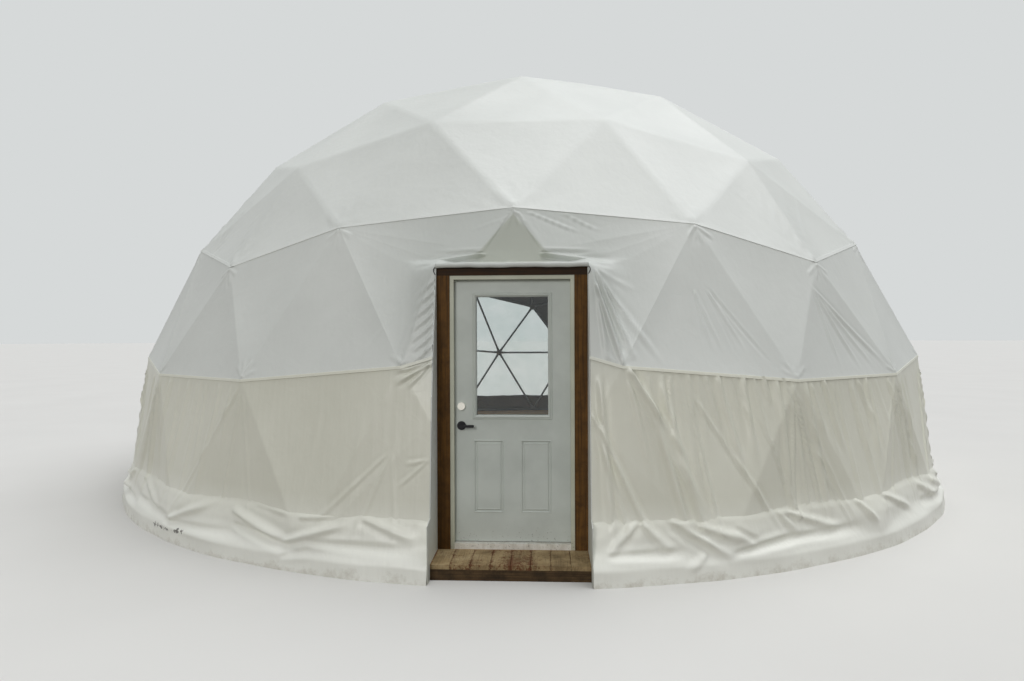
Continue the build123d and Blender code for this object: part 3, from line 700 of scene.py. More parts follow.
for row in ((0.98, 2.30, 0.082, SEAM, 0.42, 0.07, 0.006), (2.50, 3.80, 0.15, 1.36, 0.62, 0.10, 0.006)):
    lowest_folds += hanging(*row, 3 if row[0] < 1 else 4)
lowest_folds += hanging(-3.7, -2.5, 0.2, 1.34, 0.6, -0.05, 0.003, 5)

# %% [markdown]
# Round the rest of the dome the folds repeat what shows in front: a fan under
# each hub and folds that hang between. The lowest band's own folds then run on
# to the foot, where the skirt takes them up, and are drawn stronger.

# %% Folds round the back, and more in front
UNDER_HUB = ((-0.5, 0.004), (-0.15, 0.005), (0.25, 0.004), (0.55, 0.004))
for side, seed in ((1, 8), (-1, 9)):
    for place in np.arange(6.85, 15.6, 1.57):
        ends = [(side * (place + step), 0.40, ridge) for step, ridge in UNDER_HUB]
        lowest_folds += fan((side * place, 1.38), 0.045, ends)
        ends = [(side * (place + step), 1.46, 0.006) for step in (-0.4, 0, 0.3)]
        middle_folds += fan((side * (place - 0.7), 2.3), 0.045, ends)
    outer = hanging(4.4, 15.2, 0.37, 1.38, 0.7, 0.08, 0.0028, seed)
    lowest_folds += [[side * a, b, side * c, *rest] for a, b, c, *rest in outer]
for row in (
    (0.70, 2.35, 0.24, 1.46, 1.05, 0.16, 0.008, 12),
    (2.40, 4.40, 0.26, 1.40, 1.0, 0.10, 0.007, 13),
    (-2.30, -0.70, 0.36, 1.20, 0.7, -0.10, 0.0012, 14),
    (-4.40, -2.45, 0.28, 1.38, 1.0, -0.10, 0.005, 15),
):
    lowest_folds += hanging(*row)
wrinkles = [(-0.90, 1.37, 0.008), (-0.93, 1.43, -0.006), (-0.86, 1.46, 0.007), (-0.80, 1.34, 0.005)]
lowest_folds += fans(
    [
        ((-0.61, 1.53), 0.026, wrinkles),
        ((-0.60, 0.84), 0.024, [(-0.86, 0.62, 0.003), (-0.80, 0.80, 0.003)]),
        ((1.96, 1.16), 0.022, [(2.26, 0.42, 0.007)]),
        ((2.44, 0.98), 0.022, [(2.72, 0.44, 0.008)]),
    ]
)
lowest_folds = run_down(lowest_folds, 0.13)
lowest_folds[:, 6] *= 1.7

# %% Folds of the cap
cap_folds = fans(
    [
        ((-3.85, 2.42), 0.045, [(-4.77, 3.6, 0.008), (-4.45, 3.6, 0.008)]),
        ((-3.85, 2.42), 0.045, [(-5.10, 3.5, 0.008), (-5.40, 3.4, 0.007)]),
        ((-3.20, 2.40), 0.035, [(-3.55, 3.1, 0.006), (-3.05, 2.95, 0.005), (-2.6, 3.0, 0.003)]),
        ((-0.20, 2.78), 0.016, [(-0.90, 2.98, 0.004), (-0.7, 2.9, 0.003)]),
        ((0.30, 2.80), 0.018, [(1.1, 2.75, 0.004), (0.9, 2.95, 0.003)]),
    ]
)
for *ends, _, _, ridge in puckers(UPPER_RING, 1, 0.30, 0.005, 33):
    cap_folds.append([*ends, 0.045, 0.055, ridge * 1.2])
for place in np.arange(3.14, 15.6, 1.6):
    for side in (-1, 1) if place > 4.5 else (1,):
        ends = [(side * (place + step), 3.3, 0.005) for step in (-0.8, -0.3, 0.4, 0.9)]
        cap_folds += fan((side * place, 2.42), 0.04, ends)
print("folds", len(cap_folds), len(middle_folds), len(lowest_folds))

# %% [markdown]
# ## The cover
# Each facet is cut into small triangles, the sheet sags a little between its
# tubes, and the folds push it in and out along the radius. Welding the points
# of neighbouring facets lets the smooth shading round the cloth over the tube,
# and near a tube no fold dips further in than the tube leaves room for. How far
# a point is from a tube comes from its weights and the height of its triangle,
# which is about 1.3 times the root of the triangle's area.

# %% Where tubes lie behind the cloth
SAG = 0.012
TUBE_BEND = 0.09
FULL_FACET = 0.9
FACET_TALL = 1.3
CLOTH_ROOM = 0.0015
SOFTENING = 0.5


def spread(points):
    """Unit directions away from the middle of the dome."""
    away = points - centre
    return away / np.linalg.norm(away, axis=-1, keepdims=True)


hub_points = np.concatenate([centre + unit_hubs * COVER_RADIUS, [doorway(s)[2][0] for s in (-1, 1)]])


def beside_tube(corners):
    """For each corner of each triangle, whether the side across from it joins two hubs and so has a tube."""
    at_hub = (np.linalg.norm(corners[:, :, None] - hub_points, axis=-1) < 1e-3).any(-1)
    return np.roll(at_hub, 1, -1) & np.roll(at_hub, 2, -1)


def near_line(points, start, end, reach):
    """1 on the line from start to end, falling to 0 at a reach from it."""
    along = np.clip((points - start) @ (end - start) / ((end - start) ** 2).sum(), 0, 1)
    away = np.linalg.norm(points - start - along[:, None] * (end - start), axis=-1)
    return smoothstep(1 - away / reach)


def soften(points, faces, share, rounds=90):
    """Rounds off creases: again and again each point moves its share of the way to its neighbours' mean."""
    pairs, times = edges_of(faces)
    share = share.copy()
    share[pairs[times == 1].ravel()] = 0
    here, there = np.concatenate([pairs, pairs[:, ::-1]]).T
    neighbours = np.bincount(here, minlength=len(points))
    for _ in range(rounds):
        total = np.stack([np.bincount(here, points[there, k], len(points)) for k in range(3)], -1)
        points = points + share[:, None] * (total / neighbours[:, None] - points)
    return points


# %% Building a band of the cover


def band_surface(corners, count, lines, creases=()):
    """A mesh: weights times corners, less the sag of 27 times the weights' product, plus the folds."""
    weights, cells = triangle_grid(count)
    points = weights @ corners
    size = np.linalg.norm(cross_of(corners), axis=-1) / 2
    depth = (27 * weights.prod(-1) * SAG * np.minimum(size / FULL_FACET, 1)[:, None]).reshape(-1)
    faces = (cells + len(weights) * np.arange(len(corners))[:, None, None]).reshape(-1, 3)
    points, faces, first = weld(points.reshape(-1, 3), faces)
    if len(creases):
        share = SOFTENING * np.max([near_line(points, *crease) for crease in creases], 0)
        points = soften(points, faces, share)
    if len(lines) == 0:
        return points - spread(points) * depth[first][:, None], faces
    tall = FACET_TALL * np.sqrt(size)[:, None, None]
    near = np.where(beside_tube(corners)[:, None], weights * tall, 1.0).min(-1).reshape(-1)[first]
    rise = held(folds(*unroll(points), lines), CLOTH_ROOM + near**2 / TUBE_BEND)
    return points + spread(points) * (rise - depth[first])[:, None], faces


# %% [markdown]
# ### Coated fabric
# The cloth is a polyester scrim coated with white PVC on both sides, which
# leaves a satin skin: broad soft highlights, and small crinkles left from when
# it lay folded. Its threads are under a millimetre apart, so they are drawn as
# a coarser fine grain. Near the ground rain has splashed it with dirt.
#
# Round the head of the doorway the cloth is painted darker, as painted shade: in
# a triangle between the two tubes over the door and on the apron below it, over
# the dark header, and, more faintly, on the middle band for about a metre round,
# up to the seam, which falls to the sides.

# %% Where the cloth gets painted shade
APRON_LOW = 0.02
TRIANGLE_TOP = 0.44
SHADE_WITHIN = (0.38, 0.22)
DOOR_HEAD = (0.0, -4.6, header_top + 0.12)
SEAM_AT_MIDDLE = 2.757
SEAM_FALL = 0.0745


# Mask for painted shade over the header, where the dark wood lies behind the thin cloth.
def header_shade(tree, place):
    """1 on the cloth between the tubes over the door and below them on the header, and 0 elsewhere.

    Half the width of this part grows from 0 at its top to 0.27 m where the cloth leaves the tubes, and by
    0.25 m more on the apron.
    """
    x, y, z = add(tree, "SeparateXYZ", {0: place}).outputs
    leaves, low = header_top + LEAVES_TUBE, header_top + APRON_LOW
    top = header_top + TRIANGLE_TOP
    level = add(tree, "MapRange", {"Value": z, "From Min": top, "From Max": leaves, "To Max": 0.27})
    apron = add(tree, "MapRange", {"Value": z, "From Min": leaves, "From Max": low, "To Max": 0.25})
    half = add(tree, "Math", {0: level.outputs[0], 1: apron.outputs[0]}, operation="ADD")
    aside = add(tree, "Math", {0: x}, operation="ABSOLUTE").outputs[0]
    depth = add(tree, "Math", {0: half.outputs[0], 1: aside}, operation="SUBTRACT")
    within = add(tree, "MapRange", {"Value": depth.outputs[0], "From Min": 0.0, "From Max": 0.02})
    below = add(tree, "Math", {0: z, 1: top + 0.01}, operation="LESS_THAN")
    above = add(tree, "Math", {0: z, 1: header_top + 0.004}, operation="GREATER_THAN")
    front = add(tree, "Math", {0: y, 1: 0.0}, operation="LESS_THAN")
    inner = add(tree, "MapRange", {"Value": aside, "From Min": SHADE_WITHIN[0], "From Max": SHADE_WITHIN[1]})
    return all_of(tree, [node.outputs[0] for node in (below, front, above, inner, within)])


# Mask for painted shade on the middle band round the head of the doorway.
def doorway_shade(tree, place):
    """0.7 on the middle band's cloth near the head of the doorway, falling to 0 at 1.35 m from it."""
    away = add(tree, "VectorMath", {0: place, 1: DOOR_HEAD}, operation="DISTANCE").outputs["Value"]
    near = add(tree, "MapRange", {"Value": away, "From Min": 1.35, "From Max": 0.70, "To Max": 0.7})
    x, y, z = add(tree, "SeparateXYZ", {0: place}).outputs
    aside = add(tree, "Math", {0: x}, operation="ABSOLUTE").outputs[0]
    level = add(tree, "Math", {0: aside, 1: SEAM_FALL, 2: z}, operation="MULTIPLY_ADD").outputs[0]
    below = add(tree, "Math", {0: level, 1: SEAM_AT_MIDDLE}, operation="LESS_THAN")
    return all_of(tree, [near.outputs[0], below.outputs[0]])


# %% [markdown]
# At the left foot the coating is torn in a row of small ragged marks. They are
# a fine noise cut off at a threshold that rises with the distance from a line.
# All the dirt is drawn the same way, with thresholds on noises of several sizes.

# %% Torn marks
TORN = [((-3.187, -3.905, 0.090), (-2.769, -4.211, 0.112), 0.07)]


def torn_marks(tree, place, start, end, width):
    """Ragged dark marks along a line: noise above a threshold that rises with the distance from the line."""
    way = np.array(end) - np.array(start)
    off = add(tree, "VectorMath", {0: place, 1: start}, operation="SUBTRACT").outputs[0]
    along = add(tree, "VectorMath", {0: off, 1: tuple(way / (way @ way))}, operation="DOT_PRODUCT")
    along = add(tree, "Math", {0: along.outputs["Value"], 1: 1.0}, operation="MULTIPLY", use_clamp=True)
    foot = add(tree, "VectorMath", {0: tuple(way), "Scale": along.outputs[0]}, operation="SCALE")
    away = add(tree, "VectorMath", {0: off, 1: foot.outputs[0]}, operation="DISTANCE").outputs["Value"]
    rough = add(tree, "TexNoise", {"Vector": place, "Scale": 26.0, "Detail": 5.0, "Roughness": 0.7})
    cut = {0: away, 1: -0.55 / width, 2: rough.outputs["Fac"]}
    depth = add(tree, "Math", cut, operation="MULTIPLY_ADD").outputs[0]
    torn = {"Value": depth, "From Min": 0.40, "From Max": 0.47, "To Max": 0.85}
    return add(tree, "MapRange", torn).outputs[0]


# %% Colour of the cloth


# The faces that this finds are painted dark grey, as the shade inside the dome.
def inside_shade(tree, place):
    """1 on faces that look in towards the middle of the dome, and 0 on those that look out."""
    from_centre = add(tree, "VectorMath", {0: place, 1: (0.0, 0.0, -hub_plane)}, operation="ADD").outputs[0]
    normal = add(tree, "NewGeometry").outputs["True Normal"]
    out = add(tree, "VectorMath", {0: normal, 1: from_centre}, operation="DOT_PRODUCT").outputs["Value"]
    return add(tree, "Math", {0: out, 1: -COVER_RADIUS / 2}, operation="LESS_THAN").outputs[0]


def cloth_colour(tree, place, light, dark, foot, grime):
    """Two close tones and a third near the foot, lighter on the warm cloth as painted light; specks, painted
    shade round the head of the door, splashes, marks, and painted shade on the inside.
    """
    cloud = add(tree, "TexNoise", {"Vector": place, "Scale": 0.8, "Detail": 5.0, "Roughness": 0.62})
    base = add(tree, "ValToRGB", {"Fac": cloud.outputs["Fac"]}, [(0.34, dark), (0.66, light)]).outputs[0]
    speck = {"Vector": place, "Scale": 38.0, "Detail": 3.0, "Roughness": 0.75}
    speck = add(tree, "TexNoise", speck).outputs["Fac"]
    spots = add(tree, "MapRange", {"Value": speck, "From Min": 0.71, "From Max": 0.80, "To Max": 0.5})
    height = add(tree, "SeparateXYZ", {0: place}).outputs["Z"]
    foot_tone_and_light = add(tree, "MapRange", {"Value": height, "From Min": 0.55, "From Max": 0.15})
    dirt = add(tree, "TexNoise", {"Vector": place, "Scale": 9.0, "Detail": 6.0, "Roughness": 0.72})
    low = add(tree, "MapRange", {"Value": height, "From Min": 0.22, "From Max": 0.0})
    splash = all_of(tree, [dirt.outputs["Fac"], low.outputs[0]])
    veil = add(tree, "MapRange", {"Value": splash, "From Min": 0.40, "From Max": 0.66, "To Max": 0.45})
    # On the warm cloth the tone near the foot is much lighter: painted light for the sky on the skirt's
    # outward slope.
    layers = [(spots.outputs[0], grime), (foot_tone_and_light.outputs[0], foot)]
    # Painted shade: round the head of the doorway the cloth is mixed to a darker grey, more so over the
    # header.
    layers += [(doorway_shade(tree, place), "#BFC3BE"), (header_shade(tree, place), "#B4B8AE")]
    layers += [(veil.outputs[0], grime)] + [(torn_marks(tree, place, *row), "#2E241A") for row in TORN]
    # Painted shade: faces that look into the dome are mixed to dark grey for the dim inside, though the cloth
    # is white on both sides.
    return layered(tree, base, layers + [(inside_shade(tree, place), "#5E605D")])


# %% Relief of the cloth, and the two cloths


def coated_fabric(name, light, dark, foot, grime, streak, rough=0.44):
    """White coated cloth: its colour, and a relief of crinkles, creases, slack streaks and threads."""
    made, tree, shader, place = material(name, Roughness=rough, Specular_IOR_Level=0.5)
    tall = add(tree, "Mapping", {"Vector": place, "Scale": (20.0, 20.0, 1.7)}).outputs[0]
    crinkle = add(tree, "TexNoise", {"Vector": place, "Scale": 8.0, "Detail": 5.0, "Distortion": 0.9})
    slack = add(tree, "TexNoise", {"Vector": tall, "Scale": 1.0, "Detail": 1.0})
    crease = {"Vector": place, "Scale": 2.6, "Detail": 4.0}
    crease = add(tree, "TexNoise", crease, noise_type="RIDGED_MULTIFRACTAL")
    thread = add(tree, "TexNoise", {"Vector": place, "Scale": 170.0, "Detail": 2.0})
    relief = crinkle.outputs["Fac"]
    for noise, share in ((slack, streak), (crease, 0.9), (thread, 0.08)):
        sum_of = {0: noise.outputs["Fac"], 1: share, 2: relief}
        relief = add(tree, "Math", sum_of, operation="MULTIPLY_ADD").outputs[0]
    finish(tree, shader, cloth_colour(tree, place, light, dark, foot, grime), relief, 1.0, 0.0022)
    return made


white_fabric = coated_fabric("pvc_coated_fabric_white", "#DEE1DD", "#D6D9D5", "#D9DBD2", "#A9A08C", 0.7)
# The warm cloth's foot tone #F6F7EF is painted light: the skirt is the same cloth, brightened as sky light on
# its slope would brighten it.
warm_fabric = coated_fabric("pvc_coated_fabric_warm", "#E6E6D9", "#DDDDCF", "#F6F7EF", "#9C9078", 1.6, 0.38)

# %% [markdown]
# ### The three bands
# The cloth comes off the loom in strips as high as a band, so a band's flat size
# is its area over that height. The front half of each is cut finer than the back,
# and the pieces over the header are cut on their own, with their creases softened.
# Each part may spend a number of triangles, which says how finely it is cut.

# %% The cap
CLOTH_WALL = 0.0015
FRONT_HALF = 62.0
STRIP_HEIGHT = 1.45
cover_nodes = ["cover_wall_left", "cover_wall_right", "cover_wall_back"]
cover_nodes += ["cover_left_of_door", "cover_right_of_door"]
roof_tubes = ["frame_roof_upper", "frame_roof_lower"]
corners = centre + facets[band == "cap"] * COVER_RADIUS
cap = thicken(piece("cover_cap", *band_surface(corners, 30, cap_folds), white_fabric), CLOTH_WALL)
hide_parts("cover_crown", "cover_roof_left", "cover_roof_right", "cover_roof_back")

# %% The middle band and the lowest
cut_facets = {"middle": np.concatenate([doorway(-1)[0], doorway(1)[0], over_door()])}
cut_facets["lowest"] = np.concatenate([doorway(-1)[1], doorway(1)[1]])
in_front = np.abs(azimuth(middle)) < FRONT_HALF
for level, surface, lines in (("middle", white_fabric, middle_folds), ("lowest", warm_fabric, lowest_folds)):
    keep = (band == level) & ~in_window & ~cut_away
    front = centre + facets[keep & in_front] * COVER_RADIUS
    back = centre + facets[keep & ~in_front] * COVER_RADIUS
    door = outward(cut_facets[level], centre)
    parts = [("front", front, 88000), ("back", back, 30000), ("by_door", door, 40000)]
    if level == "lowest":
        parts = [("front", np.concatenate([front, door]), 94000), ("back", back, 30000)]
    for half, corners, triangles in parts:
        count = int(np.sqrt(triangles / len(corners)))
        creases = doorway(-1)[3] + doorway(1)[3] if half == "by_door" else []
        made = band_surface(corners, count, lines, creases)
        wall = thicken(piece(f"cover_{level}_{half}", *made, surface), CLOTH_WALL)
        cloth, flat = area(corners), (area(corners) / STRIP_HEIGHT, STRIP_HEIGHT)
        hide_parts(*cover_nodes, *(["cover_over_door"] if level == "middle" else []))
        print(wall.name, len(corners), "facets cut", count, "times, from", np.round(flat, 2), "m of cloth")

# %% [markdown]
# ## Closed lofts
# Seams, tubes, hems and mouldings are rings of points carried along a line. One
# helper joins the rings of many such pieces at once, closes their ends, and turns
# the faces outwards when the volume that they enclose comes out negative.

# %% The loft helper


def loft(loops):
    """Points and faces of closed solids: loops is pieces by rings by corners by 3; a fan closes each end."""
    loops = np.asarray(loops, float)
    loops = loops[None] if loops.ndim == 3 else loops
    count, rings, around = loops.shape[:3]
    caps = loops[:, [0, -1]].mean(2)
    points = np.concatenate([loops.reshape(count, -1, 3), caps], 1)
    quads = grid_faces(rings, around, closed=True)
    here = np.arange(around)
    after = (here + 1) % around
    last = (rings - 1) * around
    foot = np.stack([after, here, np.full(around, rings * around)], -1)
    head = np.stack([here + last, after + last, np.full(around, rings * around + 1)], -1)
    triangles = np.concatenate([foot, head])
    first = points[0] - points[0].mean(0)
    halves = np.concatenate([quads[:, [0, 1, 2]], quads[:, [0, 2, 3]], triangles])
    volume = (np.cross(first[halves[:, 0]], first[halves[:, 1]]) * first[halves[:, 2]]).sum()
    if volume < 0:
        quads, triangles = quads[:, ::-1], triangles[:, ::-1]
    step = points.shape[1] * np.arange(count)[:, None, None]
    return points.reshape(-1, 3), [(quads + step).reshape(-1, 4), (triangles + step).reshape(-1, 3)]


# %% [markdown]
# ### Welded seams
# Where two bands meet, one laps over the other and the lap is welded: a strip
# a few centimetres wide, one cloth thicker, whose edge throws a thin shadow.
# The strip follows the ring of hubs and goes in and out with the same folds.

# %% The seam's section


def seam_strip(ring, lines, low, high, lean, count=40):
    """A flat strip along a ring of corners: eight points from low to high beside the line, leaning in."""
    share = np.linspace(0, 1, count, endpoint=False)[None, :, None]
    line = (ring[:-1, None] * (1 - share) + ring[1:, None] * share).reshape(-1, 3)
    line = np.concatenate([line, ring[-1:]])
    around, height = unroll(line)
    line = line + spread(line) * held(folds(around, height, lines), CLOTH_ROOM)[:, None]
    out = spread(line)
    along = np.gradient(line, axis=0)
    along /= np.linalg.norm(along, axis=-1, keepdims=True)
    up = np.cross(along, out)
    up *= np.sign(up[:, 2:])
    up = up - out * np.tan(np.radians(lean)) * np.sign(high + low)
    across = np.array([low, low + 0.002, high - 0.002, high, high, high - 0.002, low + 0.002, low])
    proud = np.array([0.0030, 0.0046, 0.0030, 0.0012, -0.001, -0.0016, -0.0016, -0.001])
    return loft(line[:, None] + up[:, None] * across[:, None] + out[:, None] * proud[:, None])


def ring_of(ring):
    """Corners of a ring of hubs, in order round the dome from the door's right."""
    corners = between_levels(ring)
    return centre + corners[np.argsort(azimuth(corners) % 360)] * COVER_RADIUS


# %% The two seams
upper_ring, lower_ring = ring_of(UPPER_RING), ring_of(LOWER_RING)
upper_ring = np.concatenate([upper_ring, upper_ring[:1]])
_, ring_y, ring_z = lower_ring[0]
beside = [np.array([[side * opening_half, ring_y, ring_z + SEAM_RISE]]) for side in (1, -1)]
lower_ring = np.concatenate([beside[0], lower_ring, beside[1]])
for name, ring, lines, low, high, lean, surface in (
    ("seam_upper", upper_ring, cap_folds, -0.001, 0.032, 6, white_fabric),
    ("seam_lower", lower_ring, lowest_folds, -0.024, 0.001, 2, warm_fabric),
):
    strip = piece(name, *seam_strip(ring, lines, low, high, lean), surface, smooth=False)

# %% [markdown]
# ## The skirt
# Below the lowest tubes the cloth runs out over the edge of the deck and hangs
# to the ground, slack, in long soft rolls. Its surface is a grid of angle and
# height. At the top it lies on the wall, whose distance from the axis is the
# least over the planes of its facets, until it meets the slope that runs out
# over the edge of the deck to the ground. The folds of the wall run on into it,
# and it has long folds of its own.

# %% The wall behind the skirt
SKIRT_TOP = 0.437
RIM = 5.033
DECK_EDGE = 5.010
FINE_TO = 1.25
lowest_corners = outward(centre + facets[band == "lowest"] * COVER_RADIUS, centre)
wall_normal = cross_of(lowest_corners)
wall_normal /= np.linalg.norm(wall_normal, axis=-1, keepdims=True)
wall_offset = (wall_normal * lowest_corners[:, 0]).sum(-1)


def wall_radius(angle, height):
    """Distance of the wall from the axis: the least of (offset - height nz) / (nx sin a - ny cos a)."""
    along = np.sin(angle)[..., None] * wall_normal[:, 0] - np.cos(angle)[..., None] * wall_normal[:, 1]
    reach = (wall_offset - height[..., None] * wall_normal[:, 2]) / np.maximum(along, 1e-3)
    return np.where(along > 0.3, reach, 99.0).min(-1)


# %% Folds of the skirt
skirt_folds = fans(
    [
        ((1.12, 0.44), 0.030, [(1.66, 0.11, 0.020), (1.86, 0.21, 0.014)]),
        ((1.14, 0.36), 0.028, [(1.50, 0.16, -0.012)]),
        ((0.92, 0.42), 0.028, [(1.18, 0.18, 0.014), (0.66, 0.18, 0.012)]),
        ((1.60, 0.16), 0.026, [(2.30, 0.22, -0.016)]),
        ((0.66, 0.19), 0.024, [(1.30, 0.19, -0.014)]),
        ((1.42, 0.19), 0.028, [(1.24, 0.06, 0.008)]),
        ((2.05, 0.43), 0.026, [(2.26, 0.22, 0.014), (2.80, 0.19, 0.014)]),
        ((1.64, 0.34), 0.020, [(1.86, 0.21, -0.010)]),
        ((1.80, 0.20), 0.026, [(3.05, 0.21, -0.014)]),
        ((2.90, 0.43), 0.026, [(3.14, 0.20, 0.016)]),
        ((3.24, 0.44), 0.028, [(3.90, 0.19, 0.016)]),
        ((-2.36, 0.37), 0.030, [(-1.68, 0.18, 0.018)]),
        ((-1.78, 0.19), 0.028, [(-1.18, 0.38, 0.015)]),
        ((-2.34, 0.26), 0.026, [(-1.58, 0.14, -0.016)]),
        ((-1.76, 0.09), 0.022, [(-1.46, 0.17, -0.010)]),
        ((-1.64, 0.38), 0.020, [(-1.20, 0.43, 0.012)]),
        ((-3.30, 0.15), 0.026, [(-2.14, 0.19, -0.014)]),
        ((-3.20, 0.17), 0.028, [(-2.52, 0.41, 0.014)]),
        ((-2.12, 0.43), 0.020, [(-1.68, 0.40, 0.012)]),
        ((-1.56, 0.22), 0.026, [(-0.60, 0.20, -0.012)]),
        ((-1.12, 0.42), 0.028, [(-0.64, 0.27, 0.012)]),
    ]
)


def slack_folds(first, last, seed):
    """Long ridges that slide down to one side or the other, with a valley under each, to fill a stretch."""
    random = np.random.default_rng(seed)
    starts = np.arange(first, last, 0.36)
    way = random.choice([-1, 1], len(starts)) * random.uniform(0.35, 0.8, len(starts))
    top, foot = random.uniform(0.36, 0.44, len(starts)), random.uniform(0.14, 0.22, len(starts))
    rise = random.uniform(0.009, 0.017, len(starts))
    narrow, wide = random.uniform(0.018, 0.026, len(starts)), random.uniform(0.026, 0.038, len(starts))
    ridges = np.stack([starts, top, starts + way, foot, narrow, wide, rise], -1)
    valleys = np.stack([starts, foot + 0.02, starts + 1.6 * way, foot - 0.01, narrow, narrow, -rise], -1)
    return np.concatenate([ridges, valleys]).tolist()


for side, seed in ((1, 4), (-1, 6)):
    skirt_folds += [[side * a, b, side * c, *rest] for a, b, c, *rest in slack_folds(4.1, 14.4, seed)]
print("skirt folds", len(skirt_folds))

# %% [markdown]
# The skirt swells out below its top, where it lies on the wall, and again runs
# tight at the ground. Its long swell and its folds are sums of sines and lines
# of the distance round the dome, so no two rolls are alike.

# %% Shape of the skirt
OWN_FOLDS = np.array([1, 1, 1, 1, 1.7, 1.9, 1])
OWN_SHARE = 1.3
APRON_SLOPE = 0.72
ROUND_OVER = 0.02
SKIRT_ROOM = 0.020
TUCKED_IN = 0.012
RUNS_OUT = 0.015


def skirt(near=370, far=470, rows=34):
    """Right of the door round to its left: the larger of the wall's radius and the slope over the deck."""
    edge = np.arcsin(opening_half / RIM)
    side = np.linspace(edge, FINE_TO, near)
    back = np.linspace(FINE_TO, 2 * np.pi - FINE_TO, far)[1:-1]
    angle = np.concatenate([side, back, 2 * np.pi - side[::-1]])
    angle, v = np.meshgrid(angle, np.linspace(0, 1, rows))
    u = (angle - edge) / (2 * np.pi - 2 * edge)
    around = ((angle + np.pi) % (2 * np.pi) - np.pi) * COVER_RADIUS
    wave = 0.004 * np.sin(angle * 26) + 0.003 * np.sin(angle * 59 + 2) + 0.002 * np.sin(angle * 131)
    height = (SKIRT_TOP + wave * (1 - v)) * (1 - v)
    over_edge = height - deck_top
    below = (RIM - DECK_EDGE) / deck_top * over_edge
    apron = DECK_EDGE - np.where(over_edge > 0, APRON_SLOPE * over_edge, below)
    straight = wall_radius(angle, height)
    radius = (straight + apron + np.hypot(straight - apron, ROUND_OVER)) / 2
    swell = 0.026 + 0.009 * np.sin(around * 1.9 + 1) + 0.007 * np.sin(around * 4.3)
    swell = swell + 0.004 * np.sin(around * 9.7 + height * 12)
    radius = radius + swell * smoothstep(v / 0.35) * (0.6 + 0.4 * smoothstep((1 - v) / 0.45))
    slack = smoothstep(v / 0.12) * smoothstep((1 - v) / 0.3)
    flat = (around.ravel(), height.ravel())
    own = folds(*flat, np.array(skirt_folds) * OWN_FOLDS).reshape(around.shape)
    wall_own = folds(*flat, lowest_folds).reshape(around.shape)
    radius = radius + held(own * slack * OWN_SHARE + wall_own, SKIRT_ROOM) * smoothstep((1 - v) / 0.15)
    radius = radius - TUCKED_IN + RUNS_OUT * smoothstep(v / 0.13)
    turn = np.arcsin(opening_half / radius) - edge
    angle = angle + turn * ((1 - u) ** 16 - u**16)
    return np.stack([radius * np.sin(angle), -radius * np.cos(angle), height], -1)


# %% Build the skirt
points = skirt()
faces = grid_faces(*points.shape[:2])[:, ::-1]
drape = thicken(piece("skirt_drape", points, faces, warm_fabric), CLOTH_WALL)
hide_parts("skirt_left", "skirt_right", "skirt_back")

# %% [markdown]
# ## The tubes
# Galvanised steel tube, about 42 mm across, spans from hub to hub. Its ends are
# pressed flat, so that several can be bolted together, and the ring of points
# turns from a circle to a flat oval there. The zinc has a dull, mottled grey.

# %% Galvanised steel
zinc_tube, tree, shader, place = material("hot_dip_galvanised_tube", Metallic=1.0, Roughness=0.45)
spangle = add(tree, "TexVoronoi", {"Vector": place, "Scale": 70.0}).outputs["Color"]
tone = add(tree, "ValToRGB", {"Fac": spangle}, [(0.2, "#8A8F92"), (0.8, "#A9AEB0")]).outputs[0]
rub = add(tree, "TexNoise", {"Vector": place, "Scale": 12.0, "Detail": 4.0}).outputs["Fac"]
dull = add(tree, "MapRange", {"Value": rub, "To Min": 0.35, "To Max": 0.6})
tree.links.new(dull.outputs[0], shader.inputs["Roughness"])
finish(tree, shader, tone)

# %% Shape of a tube
TUBE_RADIUS = 0.021
CAD_COVER_WALL = 0.005
CAD_TUBE_REACH = 0.0213 * 1.016
FRAME_RADIUS = COVER_RADIUS - CAD_COVER_WALL - CAD_TUBE_REACH


def tubes(starts, ends, outside, flat=0.052):
    """Rings along each tube: an ellipse that is round in the middle and pressed flat at each end."""
    way = ends - starts
    length = np.linalg.norm(way, axis=-1, keepdims=True)
    way = way / length
    normal = outside - way * (outside * way).sum(-1, keepdims=True)
    normal /= np.linalg.norm(normal, axis=-1, keepdims=True)
    across = np.cross(way, normal)
    turn = np.linspace(0, 2 * np.pi, 12, endpoint=False)
    stations = np.array([0.0, 0.03, 0.1])
    stations = np.concatenate([stations + flat, -(stations[::-1] + flat)])
    thick = np.array([0.3, 0.42, 1, 1, 0.42, 0.3])
    wide = np.array([1.25, 1.2, 1, 1, 1.2, 1.25])
    along = np.where(stations > 0, stations, length + stations)
    middle = starts[:, None] + way[:, None] * along[..., None]
    side = across[:, None, None] * (np.cos(turn) * wide[:, None])[None, ..., None]
    up = normal[:, None, None] * (np.sin(turn) * thick[:, None])[None, ..., None]
    return middle[:, :, None] + (side + up) * TUBE_RADIUS


# %% [markdown]
# A tube runs along every edge of the lattice but those that the doorway cuts. Of
# these, the two under the crown stop over the header, the ring's tubes run in to
# the posts, and the base ring stops at the edge of the opening. All the tubes lie
# where the CAD model has them, just inside its cover.

# %% Which tubes there are
TUBE_STOPS = 0.050
hubs, links, _ = weld(facet_corners, np.arange(len(facet_corners)).reshape(-1, 3), 1e-5)
pairs, _ = edges_of(links)
frame_points = centre + hubs * FRAME_RADIUS


def number_of(angle, level):
    """Number of the hub nearest to an azimuth and a height on the unit sphere."""
    return off_hub(hubs, angle, level).argmin()


sill, crown = number_of(0, 0), number_of(0, CROWN_LEVEL)
knees = [number_of(side * KNEE_ANGLE, KNEE_LEVEL) for side in (-1, 1)]
doorway_pairs = [{crown, knees[0]}, {crown, knees[1]}, {*knees}]
kept = [sill not in pair and set(pair) not in doorway_pairs for pair in pairs.tolist()]
ends = frame_points[pairs[kept]]
loops = tubes(ends[:, 0], ends[:, 1], hubs[pairs[kept]].sum(1))

